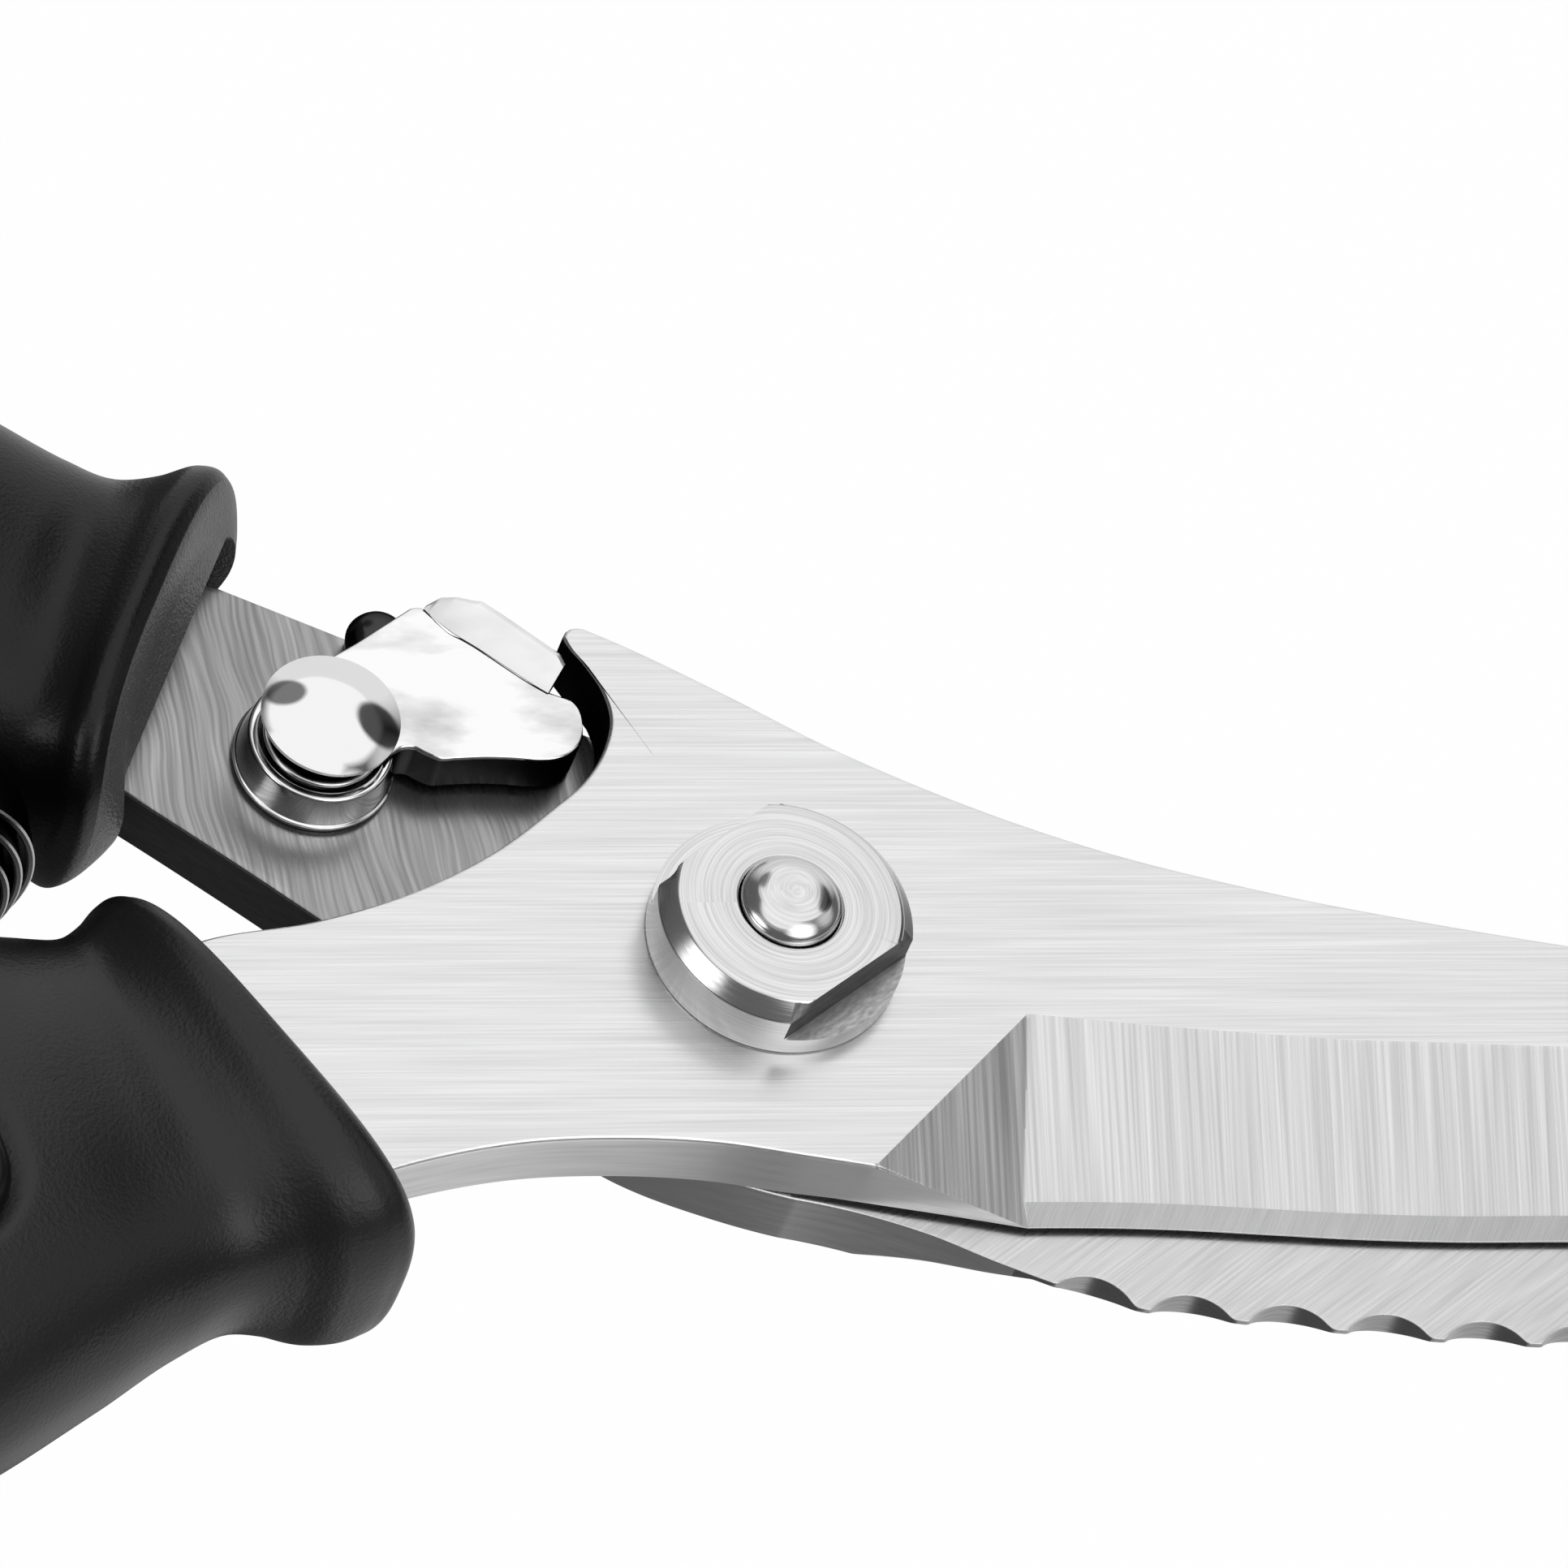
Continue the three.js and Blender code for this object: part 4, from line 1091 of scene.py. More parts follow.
@dataclass
class Pivot:
    """The pivot bolt and its nut."""

    nut_radius: float = 6.75
    nut_side: float = 2.75
    nut_height: float = 3.8
    nut_top: float = 5.95
    flat: float = 5.06
    shelf: float = 1.25
    flat_angle: float = -56.0
    bore: float = 2.74
    head_radius: float = 7.0
    head_height: float = 2.2
    bolt_radius: float = 2.66
    proud: float = 1.25

    def nut(self) -> bpy.types.Object:
        """The nut.

        Formula: a turned profile whose radius, above the shelf, is limited to the distance of the two
        flats along each direction.
        """
        base = FACE + 0.04
        profile = rounded([
            (self.bore, base, 0), (5.3, base, 0.1), (self.nut_radius, base, 0.12),
            (self.nut_radius, base + self.shelf, 0), (self.nut_radius, base + self.shelf + 0.02, 0),
            (self.nut_radius, base + self.nut_side, 0.1), (self.nut_top, base + self.nut_height, 0.16),
            (self.bore + 0.1, base + self.nut_height, 0.05), (self.bore, base + self.nut_height - 0.12, 0),
            (self.bore, base, 0),
        ])
        rz = np.array(profile[:-1])
        a = np.linspace(0, 2 * math.pi, 288, endpoint=False)
        off = np.abs(np.cos(a - math.radians(self.flat_angle)))
        limit = np.where(off > 1e-3, self.flat / np.maximum(off, 1e-3), 1e3)
        above = rz[:, 1] > base + self.shelf + 0.01
        r = np.where(above[:, None] & (rz[:, :1] > self.flat), np.minimum(rz[:, :1], limit), rz[:, :1])
        points = np.dstack([r * np.cos(a), r * np.sin(a), np.broadcast_to(rz[:, 1:], r.shape)])
        ring = (points + np.roll(points, -1, axis=0)) / 2
        middle = (ring + np.roll(ring, -1, axis=1)) / 2
        outward, height = np.hypot(middle[..., 0], middle[..., 1]), middle[..., 2] - base
        cut = (r < rz[:, :1] - 1e-6) & (above[:, None])
        cut |= np.roll(cut, -1, axis=0) | np.roll(cut, -1, axis=1)
        slots = np.where((height < self.nut_side + 0.02) & (outward > 3.5), 1, 0)
        slots[cut & (height > self.shelf + 0.1) & (height < self.nut_height - 0.02)] = 2
        slots[cut & (height <= self.shelf + 0.1) & (height > self.shelf - 0.05)] = 3
        slots[(slots == 3) & (middle[..., 1] > 0)] = 0
        shell = Shell().grid(points, wrap_rows=True, caps=False, slots=slots.ravel())
        piece = shell.piece("pivot_nut_round", [TURNED_NUT, NUT_SIDE, NUT_FLAT, NUT_SHELF], 24)
        return settle(piece, Body.REAR, "turned_steel", "pivot_nut")

    def bolt(self) -> bpy.types.Object:
        """The bolt: a flat head, a shank and a domed end that stands out of the nut."""
        top = FACE + self.nut_height + self.proud
        r = self.bolt_radius
        profile = rounded([
            (0, 0, 0), (self.head_radius, 0, 0.5), (self.head_radius, self.head_height - 0.1, 0.15),
            (3.1, self.head_height - 0.1, 0), (3.1, SEAM - STOCK + 0.1, 0), (3.1, FACE - 0.1, 0.1),
            (r, FACE - 0.1, 0), (r, top - 0.85, 0.3), (r - 0.8, top - 0.16, 0.6), (0, top, 0),
        ])
        piece = Shell().lathe(profile, segments=192).piece("pivot_bolt_round", [TURNED_BOLT], 24)
        return settle(piece, Body.REAR, "turned_steel", "pivot_bolt")


# ---------------------------------------------------------------- latch


@dataclass
class LatchPlate(BladePlate):
    """The flat of the latch lever."""

    top: Array = field(default_factory=lambda: joined([
        smooth([(-21.6, 17.5), (-20.2, 18.4), (-19.2, 19.0), (-17.7, 20.0), (-15.9, 21.2)], 0.05),
        smooth([(-15.9, 21.2), (-15.5, 21.35), (-15.15, 21.3), (-14.9, 21.05)], 0.03),
        smooth([(-14.9, 21.05), (-14.5, 20.4), (-13.9, 19.7), (-13.2, 19.35), (-12.2, 18.5), (-11.2, 17.6),
                (-10.2, 16.75), (-9.2, 16.1), (-8.4, 15.75)], 0.05),
        smooth([(-8.4, 15.75), (-7.95, 15.45), (-7.75, 14.9)], 0.03),
    ]))
    bottom: Array = field(default_factory=lambda: smooth([
        (-18.4, 11.9), (-18.0, 12.3), (-17.5, 12.57), (-16.9, 12.57), (-16.3, 12.2), (-15.7, 11.9),
        (-14.7, 11.93), (-13.2, 12.0), (-11.7, 11.95), (-10.2, 11.82), (-9.4, 11.88), (-8.6, 12.2),
        (-8.0, 12.75), (-7.72, 13.4), (-7.66, 14.1), (-7.68, 14.5)], 0.05))
    pairs: list = field(default_factory=lambda: [
        ((-21.6, 17.5), (-18.4, 11.9)), ((-19.2, 19.0), (-16.9, 12.57)), ((-15.9, 21.2), (-14.7, 11.93)),
        ((-14.9, 21.05), (-13.8, 11.97)), ((-13.2, 19.35), (-12.6, 12.0)), ((-11.2, 17.6), (-10.4, 11.84)),
        ((-9.2, 16.1), (-8.6, 12.2)), ((-8.4, 15.75), (-7.85, 13.0)), ((-7.75, 14.9), (-7.68, 14.5)),
    ])
    low: float = SEAM + 0.35
    high: float = SEAM + 3.0
    step: float = 0.12
    corner: float = 0.22


@dataclass
class Latch:
    """The thumb latch: lever, stud, washer and spring ring."""

    eye_radius: float = 4.15
    flange_wall: float = 0.85
    flange_rise: float = 2.2
    flange_slope: float = 34.0
    cap_radius: float = 3.67
    cap_rise: float = 0.87

    def flange(self, shell: Shell) -> None:
        """Adds the thumb flange, a band that is bent up and out along the fold of the lever.

        Formula: a flat section with a rounded outer edge is carried along the fold line. It leans by the
        flange's slope, starts a hair above the plate, and widens from the peak.
        """
        line = smooth([(-15.15, 21.15), (-14.5, 20.35), (-13.8, 19.65), (-12.6, 18.7), (-11.2, 17.5),
                       (-9.9, 16.4), (-9.25, 15.9)], 0.12)
        share = np.linspace(0, 1, len(line))
        along = np.gradient(line, axis=0)
        along /= np.hypot(*along.T)[:, None]
        out = np.stack([-along[:, 1], along[:, 0]], 1)
        growth = ([0, 0.03, 0.12, 0.3, 0.93, 1], [0.2, 0.5, 0.75, 1, 0.95, 0.8])
        wide = self.flange_rise * np.interp(share, *growth)
        half = self.flange_wall / 2
        bend = np.linspace(-math.pi / 2, math.pi / 2, 7)
        reach = np.array([0.0] + [half * math.cos(q) - half for q in bend] + [0.0])
        lift = np.array([-half] + [half * math.sin(q) for q in bend] + [half])
        far = np.array([0.0] + [1.0] * 7 + [0.0])
        u = wide[:, None] * far + reach
        slope = math.radians(self.flange_slope)
        offset = u * math.cos(slope) - (lift - half) * math.sin(slope)
        z = SEAM + 3.08 + u * math.sin(slope) + (lift - half) * math.cos(slope)
        place = line[:, None] + out[:, None] * offset[..., None]
        # The last quad of each section, the flange's root at the fold, takes the dark chrome, painted shade.
        slots = np.tile([2] * 8 + [1], len(line) - 1)
        shell.grid(np.concatenate([place, z[..., None]], -1), slots=slots)

    def lever(self) -> bpy.types.Object:
        """The lever: flat plate, round eye with a recess, thumb flange, and the small domed stop."""
        shell = Shell()
        grid, kinds = LatchPlate().surface()
        flat = (kinds == Row.FRONT) & (np.roll(kinds, -1) == Row.FRONT)
        # The lever's walls take the dark chrome, painted shade.
        shell.grid(grid, slots=np.tile(np.where(flat, 0, 1), len(grid) - 1))
        z0, z1 = SEAM + 0.35, SEAM + 2.45
        r, round_steps = self.eye_radius, 160
        eye = rounded([
            (2.5, z0, 0), (r + 0.14, z0, 0.05), (r + 0.14, z0 + 0.14, 0.04), (r, z0 + 0.2, 0.04),
            (r - 0.3, z1, 0.2), (3.35, z1, 0.1), (3.3, z1 - 0.6, 0), (2.5, z1 - 0.6, 0), (2.5, z0, 0)])
        # The eye's recess takes the dark chrome, painted shade.
        inner = [int(radius < 3.34) for radius, _ in eye[:-1]]
        shell.lathe(eye, STUD, round_steps, slots=np.repeat(inner, round_steps))
        self.flange(shell)
        # The small stop takes the dark chrome, painted shade.
        shell.lathe(rounded([
            (0, SEAM + 0.4, 0), (1.55, SEAM + 0.4, 0.1), (1.7, SEAM + 1.3, 0.3), (1.25, SEAM + 2.3, 0.6),
            (0, SEAM + 2.55, 0)]), (-17.35, 20.35), 96, slots=1)
        piece = shell.piece("latch_lever_plate", [LEVER_CHROME, LATCH_PAINTED_SHADE, FLANGE_CHROME], crease=26)
        return settle(piece, Body.LATCH, "chrome_steel", "latch_lever")

    def stud(self) -> bpy.types.Object:
        """The stud with its domed cap, whose rim is a thin turned line.

        Formula: the dome is a part of a sphere, R sin a outwards and R cos a upwards, from its top to
        the rim.
        """
        base, low = SEAM + 4.2, SEAM - STOCK
        r, rise = self.cap_radius, self.cap_rise
        sphere = (r * r + rise * rise) / (2 * rise)
        sweep = np.linspace(math.asin(r / sphere), 0, 40)
        dome = [(sphere * math.sin(a), base + 0.4 + rise - sphere * (1 - math.cos(a))) for a in sweep]
        rim = rounded([
            (0, base - 0.05, 0), (r - 0.5, base - 0.05, 0), (r, base + 0.14, 0.1), (r, base + 0.38, 0)
        ])
        shell = Shell().lathe(rim + dome, STUD, 192)
        # The shank and the neck under the cap take the dark chrome, painted shade.
        shell.lathe(rounded([
            (0, low - 0.9, 0), (3.4, low - 0.9, 0.4), (3.4, low - 0.1, 0.1), (2.0, low - 0.1, 0),
            (2.0, SEAM + 0.1, 0), (2.35, SEAM + 0.1, 0), (2.35, SEAM + 2.6, 0.1), (1.95, SEAM + 2.9, 0),
            (1.95, base, 0), (0, base, 0)]), STUD, 128, slots=1)
        piece = shell.piece("latch_stud_cap", [MIRROR, LATCH_PAINTED_SHADE], 24)
        return settle(piece, Body.REAR, "chrome_steel", "latch_stud")

    def rings(self) -> list[bpy.types.Object]:
        """The spring ring between the cap and the eye, and the washer under the eye."""
        wire = Shell()
        for radius, z, wire_radius in ((2.98, SEAM + 2.6, 0.17), (2.75, SEAM + 2.15, 0.18)):
            turn = np.linspace(0, 2 * math.pi, 25)
            profile = [(radius + wire_radius * math.cos(a), z + wire_radius * math.sin(a)) for a in turn]
            wire.lathe(profile, STUD, 128)
        turns = wire.piece("latch_ring_turns", [RING_STEEL], 60)
        ring = settle(turns, Body.REAR, "chrome_steel", "latch_spring_ring")
        washer = Shell().lathe(rounded([
            (2.5, SEAM + 0.04, 0), (4.2, SEAM + 0.04, 0.05), (4.2, SEAM + 0.31, 0.05), (2.5, SEAM + 0.31, 0),
            (2.5, SEAM + 0.04, 0)]), STUD, 128).piece("latch_washer_round", [WASHER_STEEL])
        return [ring, settle(washer, Body.REAR, "turned_steel", "latch_washer")]


# ---------------------------------------------------------------- handles


@dataclass
class Handle:
    """A soft grip round a hard core, with a flared collar and an oval inlay."""

    name: str
    body: Body
    nodes: tuple[str, str, str]
    rows: list[tuple[float, float, float, float, float]]
    inlay_at: tuple[float, float]
    inlay_turn: float
    inlay_wide: float
    finish: Finish
    end_rows: int = 0
    inlay_long: float = 38.0
    groove: float = 1.1
    trench: float = 1.2
    bluntness: float = 2.7
    wall: float = 2.4
    roundness: float = 2.3
    lip_roundness: float = 0.9
    bow: float = 0.0
    lip_rows: int = 6
    lip_steps: int = 60
    sides: int = 200
    step: float = 0.4

    def sections(self) -> Array:
        """The smooth run of sections along the handle, five numbers each."""
        rows = np.array(self.rows, float)
        chord = np.hypot(*np.diff(rows[:, :2], axis=0).T)
        at = np.concatenate([[0], np.cumsum(np.maximum(chord, 0.4))])
        u = np.linspace(0, at[-1], int(at[-1] / self.step))
        lip_end = at[self.lip_rows]
        u = np.unique(np.concatenate([np.linspace(0, lip_end, self.lip_steps), u[u > lip_end]]))
        slope = np.gradient(rows, at, axis=0)
        k = np.clip(np.searchsorted(at, u, side="right") - 1, 0, len(at) - 2)
        h = (at[k + 1] - at[k])[:, None]
        t = ((u - at[k]))[:, None] / h
        return (
            rows[k] * (2 * t**3 - 3 * t**2 + 1) + slope[k] * h * (t**3 - 2 * t**2 + t)
            + rows[k + 1] * (3 * t**2 - 2 * t**3) + slope[k + 1] * h * (t**3 - t**2)
        )

    def ring(self, sections: Array) -> Array:
        """The points of each section.

        Formula: a superellipse across the handle's direction and along Z, centred on the seam. At the
        collar's lip it is a little squarer, and its front and back are bowed along the handle.
        """
        a = np.linspace(0, 2 * math.pi, self.sides, endpoint=False)
        near = np.clip(1 - (self.rows[0][0] - sections[:, 0]) / 9, 0, 1)
        power = 2 / (self.roundness + self.lip_roundness * near[:, None])
        across = np.sign(np.cos(a)) * np.abs(np.cos(a)) ** power
        up = np.sign(np.sin(a)) * np.abs(np.sin(a)) ** power
        turn = np.radians(sections[:, 4])[:, None]
        back = self.bow * near[:, None] * up**2 * np.sign(np.sin(turn))
        x = sections[:, :1] + np.cos(turn) * across * sections[:, 2:3] - np.sin(turn) * back
        y = sections[:, 1:2] + np.sin(turn) * across * sections[:, 2:3] + np.cos(turn) * back
        z = SEAM + up * sections[:, 3:4]
        return np.dstack([x, y, z])

    def height(self, sections: Array, x: Array, y: Array) -> Array:
        """How high the grip's front surface is over points of the seam's plane.

        Formula: the two sections that a point lies between are found by its distance along the handle,
        and the superellipse is read at the point's share across the mean of them.
        """
        turn = np.radians(sections[:, 4])
        dx, dy = x[..., None] - sections[:, 0], y[..., None] - sections[:, 1]
        along = dx * np.sin(turn) - dy * np.cos(turn)
        k = np.argmax(np.diff(np.sign(along * np.sign(along[..., :1])), axis=-1) < 0, axis=-1)
        here, there = (np.take_along_axis(along, (k + i)[..., None], -1)[..., 0] for i in (0, 1))
        share = here / (here - there)
        across = dx * np.cos(turn) + dy * np.sin(turn)
        near, far = (np.take_along_axis(across, (k + i)[..., None], -1)[..., 0] for i in (0, 1))
        half, depth = (sections[k, i] * (1 - share) + sections[k + 1, i] * share for i in (2, 3))
        ratio = np.clip(np.abs(near * (1 - share) + far * share) / half, 0, 1)
        return SEAM + depth * (1 - ratio**self.roundness) ** (1 / self.roundness)

    def inlay(self, sections: Array) -> bpy.types.Object:
        """The oval inlay, whose top follows the grip and whose edge is rounded.

        Formula: rings of points over the oval at growing shares of its size, at the grip's height less
        a quarter circle at the edge.
        """
        a = np.linspace(0, 2 * math.pi, 160, endpoint=False)
        turn = math.radians(self.inlay_turn)
        edge = 0.7
        bend = np.linspace(0, math.pi / 2, 7)[1:]
        flat = np.linspace(self.inlay_wide / 2 - 0.05, edge, 22)
        inset = np.concatenate([flat, edge * (1 - np.sin(bend)), [0.0]])
        drop = np.concatenate([np.zeros(len(flat)), edge * (1 - np.cos(bend)), [self.trench + 0.2]])
        ratio = 1 - inset / (self.inlay_wide / 2)
        power = 2 / self.bluntness
        share_along, share_across = (np.sign(f) * np.abs(f) ** power for f in (np.cos(a), np.sin(a)))
        along = share_along * (self.inlay_long / 2 - inset[:, None] * (0.4 + 0.6 * ratio[:, None]))
        across = share_across * (self.inlay_wide / 2 - inset[:, None])
        x = self.inlay_at[0] + along * math.cos(turn) - across * math.sin(turn)
        y = self.inlay_at[1] + along * math.sin(turn) + across * math.cos(turn)
        z = self.height(sections, x, y) - drop[:, None] - 0.05
        piece = Shell().grid(np.dstack([x, y, z])).piece(self.name + "_inlay_oval", [INLAY], 60)
        return settle(piece, self.body, "inlay_rubber", self.nodes[1])

    def core(self, sections: Array) -> bpy.types.Object:
        """The hard core, which is the grip's form less its wall."""
        inner = sections[(sections[:, 0] < -33) & (sections[:, 3] > self.wall + 1)].copy()
        inner[:, 2:4] -= self.wall
        piece = Shell().grid(self.ring(inner)).piece(self.name + "_core_form", [CORE], 60)
        return settle(piece, self.body, "core_plastic", self.nodes[2])

    def oval(self, x: Array, y: Array, grown: float) -> Array:
        """How far each point is from the inlay's oval, grown by a margin: under 1 is inside."""
        turn = math.radians(self.inlay_turn)
        dx, dy = x - self.inlay_at[0], y - self.inlay_at[1]
        along = (dx * math.cos(turn) + dy * math.sin(turn)) / (self.inlay_long / 2 + grown)
        across = (-dx * math.sin(turn) + dy * math.cos(turn)) / (self.inlay_wide / 2 + grown)
        return (np.abs(along) ** self.bluntness + np.abs(across) ** self.bluntness) ** (1 / self.bluntness)

    def build(self) -> list[bpy.types.Object]:
        """The grip with its collar and the pocket of the inlay, then the inlay and the core.

        Formula: the collar's mouth is a run of rings that blend the first section into the tang's slot,
        dished by the bow, and then go in along the handle. Inside the grown oval the front surface is let
        down by the trench with a smooth step.
        """
        sections = self.sections()
        rings = self.ring(sections)
        turn = math.radians(sections[0, 4])
        centre = np.array([sections[0, 0], sections[0, 1], SEAM])
        side = np.array([math.cos(turn), math.sin(turn), 0])
        inward = sections[4, :2] - sections[0, :2]
        inward = np.array([*(inward / np.hypot(*inward)), 0.0])
        local = rings[0] - centre
        plan = np.stack([local @ side, local[:, 2]], 1)
        slot = np.clip(plan, [-8.0, -2.0], [8.0, 2.0])
        mouth = []
        dish = self.bow
        for share, depth in ((0.5, dish / 2), (0.9, dish), (1.0, dish + 0.12), (1.0, dish + 3)):
            blend = plan * (1 - share) + slot * share
            mouth.append(centre + blend[:, :1] * side + np.array([0, 0, 1.0]) * blend[:, 1:] + inward * depth)
        grid = np.concatenate([np.array(mouth[::-1]), rings])
        x, y, z = np.moveaxis(grid, 2, 0)
        reach = self.oval(x, y, self.groove)
        step = np.clip((1 - reach) / 0.14, 0, 1)
        step = step * step * (3 - 2 * step)
        grid[..., 2] -= np.where((z > SEAM + 4) & (reach < 1), self.trench * step, 0)
        # The collar's mouth and its first end rows take the lighter rubber, painted light.
        ends = np.arange(len(grid) - 1) < len(mouth) + self.end_rows
        grip = Shell().grid(grid, slots=np.repeat(ends, self.sides).astype(int))
        grip = grip.piece(self.name + "_skin", [self.finish, COLLAR_PAINTED_LIGHT], 40)
        settle(grip, self.body, "grip_rubber", self.nodes[0])
        return [grip, self.inlay(sections), self.core(sections)]


UPPER_ROWS = [
    (-28.2, 17.6, 9.2, 5.2, 63), (-28.35, 17.8, 9.8, 6.2, 63), (-28.7, 18.1, 10.6, 7.5, 63),
    (-29.5, 18.4, 11.4, 8.4, 63), (-30.7, 18.85, 11.5, 8.6, 63.5), (-32.3, 19.4, 10.7, 7.6, 65),
    (-34.0, 20.0, 10.2, 6.9, 66), (-37.4, 21.65, 10.3, 7.3, 66), (-41.2, 23.7, 10.6, 8.0, 66.5),
    (-50.0, 27.8, 10.9, 9.0, 69), (-62.0, 31.8, 11.6, 9.5, 74), (-76.0, 35.0, 11.6, 9.6, 80),
    (-92.0, 36.8, 11.0, 9.5, 87), (-108.0, 36.9, 10.3, 9.2, 93), (-124.0, 35.2, 10.2, 9.0, 99),
    (-136.0, 32.9, 10.3, 8.8, 103), (-142.0, 31.5, 9.7, 8.2, 105), (-145.6, 30.6, 8.4, 7.0, 105),
    (-148.0, 30.0, 6.2, 5.2, 105), (-149.2, 29.7, 3.8, 3.2, 105), (-149.5, 29.6, 1.2, 1.0, 105),
]
LOWER_ROWS = [
    (-27.2, -7.3, 10.5, 6.7, -57.5), (-27.4, -7.4, 11.3, 7.5, -57.5), (-27.8, -7.6, 12.0, 8.3, -58.5),
    (-28.7, -7.85, 12.4, 8.8, -60), (-30.2, -8.2, 12.2, 8.6, -64), (-31.8, -8.5, 11.5, 7.7, -67),
    (-33.5, -8.9, 11.1, 7.0, -69.5), (-36.7, -9.7, 11.9, 7.3, -73), (-40.7, -11.1, 13.2, 8.2, -76),
    (-50.0, -15.4, 14.2, 9.0, -74), (-62.0, -19.6, 13.9, 9.5, -75), (-76.0, -23.0, 12.6, 9.6, -79),
    (-92.0, -25.3, 11.2, 9.5, -85), (-108.0, -25.8, 10.3, 9.2, -91), (-124.0, -24.6, 10.2, 9.0, -97),
    (-136.0, -22.6, 10.3, 8.8, -102), (-142.0, -21.3, 9.7, 8.2, -104), (-145.6, -20.5, 8.4, 7.0, -104),
    (-148.0, -19.9, 6.2, 5.2, -104), (-149.2, -19.6, 3.8, 3.2, -104), (-149.5, -19.5, 1.2, 1.0, -104),
]


# ---------------------------------------------------------------- spring


@dataclass
class VoluteSpring:
    """A strip wound from the middle out to both ends, in smaller and smaller turns."""

    x: float = -45.6
    low: float = 1.9
    high: float = 13.7
    radius: float = 8.0
    end_radius: float = 4.0
    turns: float = 5.0
    strip: float = 2.6
    wall: float = 0.42

    def build(self) -> bpy.types.Object:
        """The strip.

        Formula: a spiral about an axis along Y. The radius falls from the middle to each end while the
        strip moves out along the axis, and its section is a flat rectangle with rounded edges.
        """
        shell = Shell()
        middle = (self.low + self.high) / 2
        half = (self.high - self.low) / 2
        for side in (-1, 1):
            share = np.linspace(0, 1, 420)
            angle = 2 * math.pi * self.turns * share
            r = self.radius + (self.end_radius - self.radius) * share
            y = middle + side * share * (half - self.strip / 2)
            h, w = self.strip / 2, self.wall / 2
            across = np.array([-w, -w, -w * 0.5, w * 0.5, w, w, w * 0.5, -w * 0.5])
            up = np.array([-h * 0.93, h * 0.93, h, h, h * 0.93, -h * 0.93, -h, -h])
            rr = r[:, None] + across
            points = np.dstack([
                self.x + rr * np.cos(angle)[:, None],
                y[:, None] + up,
                SEAM + side * rr * np.sin(angle)[:, None],
            ])
            shell.grid(points, slots=np.tile([0, 1, 1, 1, 0, 1, 1, 1], len(share) - 1))
        piece = shell.piece("volute_strip", [STRIP_STEEL, STRIP_EDGE], 40)
        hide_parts("volute_spring")
        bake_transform(piece)
        log.info("volute_strip: %d faces", len(piece.data.polygons))
        return piece


# ---------------------------------------------------------------- studio


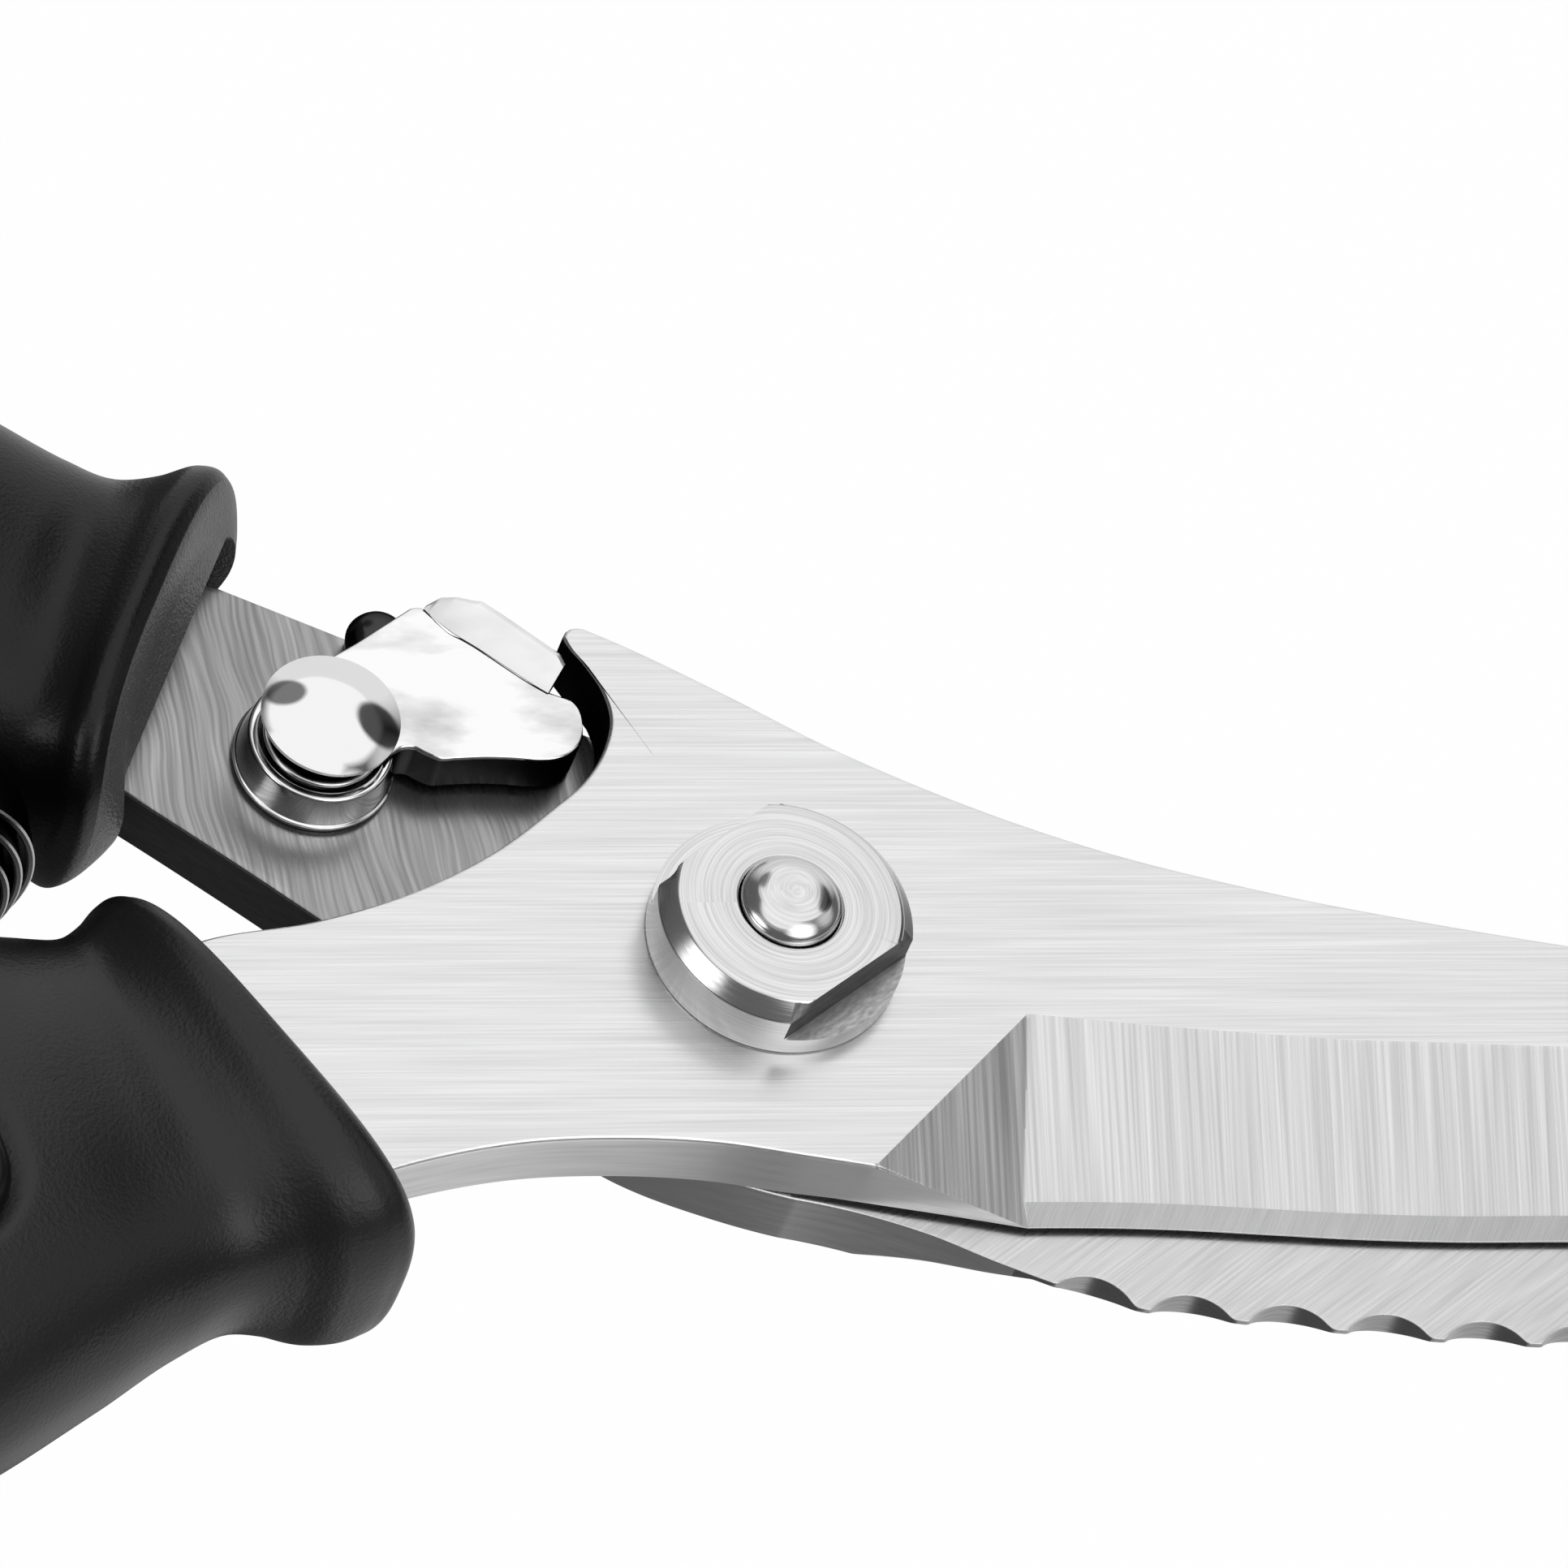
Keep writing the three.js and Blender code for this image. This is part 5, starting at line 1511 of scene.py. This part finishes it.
@dataclass
class Studio:
    """The camera, the pale floor and the soft light."""

    eye: tuple[float, float, float] = (-199.5, -343.9, 550.2)
    right: tuple[float, float, float] = (0.95448, -0.16334, 0.24957)
    up: tuple[float, float, float] = (0.0, 0.83672, 0.54763)
    lens: float = 300.0
    floor_at: float = -0.16
    floor_size: float = 12.0
    floor_glow: float = 0.97
    floor_painted_shade: tuple[float, float] = (0.1, 0.75)
    floor_ramp: tuple[float, float] = (20.0, 50.0)
    dim: float = 0.12
    panels: tuple = (
        ((0.144, 0.40, 0.906), 35, 41, 1.0),
        ((-0.2, -0.12, 0.97), 28, 36, 1.0),
        ((0.3, 0.9, 0.3), 26, 48, 0.8),
        ((0.3, -0.66, 0.69), 8, 30, 1.9),
        ((0.82, -0.04, 0.57), 10, 24, 0.62),
        ((-0.9, -0.3, 0.3), 12, 22, 2.0),
    )
    shades: tuple = (((0.70, 0.365, 0.614), 13.5, 17, 0.08), ((-0.179, 0.743, 0.644), 10, 13, 0.2))
    lamps: tuple = (
        ("key_light", (-0.9, 0.7, 1.6), 0.9, 3.0),
        ("fill_light", (0.3, -1.2, 1.3), 1.0, 1.5),
    )

    def camera(self) -> None:
        """A long lens above and to the left of the handles, looking down at the pivot."""
        data = bpy.data.cameras.new("camera")
        data.lens, data.sensor_width = self.lens, 36.0
        data.clip_start, data.clip_end = 0.01, 50.0
        right, up = Vector(self.right).normalized(), Vector(self.up).normalized()
        back = right.cross(up).normalized()
        turn = Matrix((right, back.cross(right), back)).transposed().to_4x4()
        made = bpy.data.objects.new("camera", data)
        made.matrix_world = Matrix.Translation(Vector(self.eye) * MM) @ turn
        bpy.context.collection.objects.link(made)
        bpy.context.scene.camera = made

    def floor(self) -> None:
        """A wide pale sheet some way below the shears. Glossy rays see a painted glow on it instead, dark
        under the handles: painted shade in reflections.
        """
        mesh = bpy.data.meshes.new("studio_floor")
        s, z = self.floor_size / 2, self.floor_at
        mesh.from_pydata([(-s, -s, z), (s, -s, z), (s, s, z), (-s, s, z)], [], [(0, 1, 2, 3)])
        material = bpy.data.materials.new("studio_paper")
        material.use_nodes = True
        shader = material.node_tree.nodes["Principled BSDF"]
        shader.inputs["Base Color"].default_value = (0.93, 0.93, 0.93, 1)
        shader.inputs["Roughness"].default_value = 0.9
        shader.inputs["Specular IOR Level"].default_value = 0.1
        n = Nodes(material.node_tree)
        white = n.add("Emission", Strength=1.0)
        place = n.add("SeparateXYZ", Vector=n.add("TexCoord").outputs["Object"]).outputs[0]
        # Painted shade for reflections: the glow that glossy rays see ramps from dark under the handles to
        # pale towards the tips.
        start, end = (MM * x for x in self.floor_ramp)
        shade = n.add("Emission", Strength=n.ranged(place, start, end, self.floor_painted_shade))
        path = n.add("LightPath")
        seen = n.add("MixShader", i0=self.floor_glow, i1=shader.outputs[0], i2=white.outputs[0])
        paper = n.add("MixShader", i0=path.outputs["Is Glossy Ray"], i1=seen.outputs[0], i2=shade.outputs[0])
        n.tree.links.new(paper.outputs[0], material.node_tree.nodes["Material Output"].inputs["Surface"])
        mesh.materials.append(material)
        made = bpy.data.objects.new("studio_floor", mesh)
        bpy.context.collection.objects.link(made)

    def lamp(self, name: str, place: tuple, size: float, power: float) -> None:
        """A square soft light that faces the shears."""
        data = bpy.data.lights.new(name, "AREA")
        data.size, data.energy = size, power
        made = bpy.data.objects.new(name, data)
        made.location = place
        made.rotation_mode = "QUATERNION"
        made.rotation_quaternion = (-Vector(place)).to_track_quat("-Z", "Y")
        made.visible_glossy = False
        bpy.context.collection.objects.link(made)

    def sky(self) -> None:
        """Dim light from all round, soft panels, and two dark shapes that polished metal shows."""
        world = bpy.data.worlds.new("studio")
        world.use_nodes = True
        bpy.context.scene.world = world
        n = Nodes(world.node_tree)
        way = n.add("TexCoord").outputs["Generated"]
        unit = n.add("VectorMath", {"operation": "NORMALIZE"}, i0=way).outputs[0]

        def disc(toward: tuple, inner: float, outer: float, to: tuple[float, float]) -> bpy.types.NodeSocket:
            """A soft-edged disc of the sky, between two angles in degrees from a direction."""
            aim = tuple(Vector(toward).normalized())
            facing = n.add("VectorMath", {"operation": "DOT_PRODUCT"}, i0=unit, i1=aim).outputs["Value"]
            return n.ranged(facing, math.cos(math.radians(outer)), math.cos(math.radians(inner)), to)

        level: object = self.dim
        for toward, inner, outer, strength in self.panels:
            level = n.maths("MAXIMUM", level, disc(toward, inner, outer, (0.0, strength)))
        for toward, inner, outer, left in self.shades:
            level = n.maths("MULTIPLY", level, disc(toward, inner, outer, (1.0, left)))
        seen = n.add("LightPath").outputs["Is Camera Ray"]
        strength = n.add("Mix", {"data_type": "FLOAT"})
        n.tree.links.new(seen, strength.inputs[0])
        n.tree.links.new(level, strength.inputs[2])
        strength.inputs[3].default_value = 1.0
        back = world.node_tree.nodes["Background"]
        back.inputs["Color"].default_value = (1, 1, 1, 1)
        n.tree.links.new(strength.outputs[0], back.inputs["Strength"])

    def build(self) -> None:
        """Sets the studio up."""
        self.camera()
        self.floor()
        self.sky()
        for lamp in self.lamps:
            self.lamp(*lamp)
        bpy.context.scene.view_settings.view_transform = "Standard"


def dress_nodes() -> None:
    """Gives the CAD nodes that stay in view their finishes."""
    kept = {"pivot_spring_washer": TURNED_NUT, "spring_peg_upper": RING_STEEL, "spring_peg_lower": RING_STEEL}
    for name, finish in kept.items():
        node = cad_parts[name]
        node.data.materials.clear()
        node.data.materials.append(finish.material())


def main() -> None:
    """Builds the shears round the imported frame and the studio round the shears."""
    logging.basicConfig(level=logging.INFO)
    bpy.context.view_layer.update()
    dress_nodes()
    FrontBlade().build()
    RearBlade().build()
    pivot = Pivot()
    pivot.nut()
    pivot.bolt()
    latch = Latch()
    latch.lever()
    latch.stud()
    latch.rings()
    Handle(
        "upper", Body.REAR, ("upper_grip", "upper_inlay", "upper_core"), UPPER_ROWS,
        inlay_at=(-66, 33.1), inlay_turn=-14, inlay_wide=12.5, finish=UPPER_GRIP_SHADED, end_rows=12, bow=1.8,
    ).build()
    Handle(
        "lower", Body.FRONT, ("lower_grip", "lower_inlay", "lower_core"), LOWER_ROWS,
        inlay_at=(-61.8, -18.7), inlay_turn=14, inlay_wide=13, finish=LOWER_GRIP, bow=0.5,
    ).build()
    VoluteSpring().build()
    Studio().build()


if __name__ == "__main__":
    main()
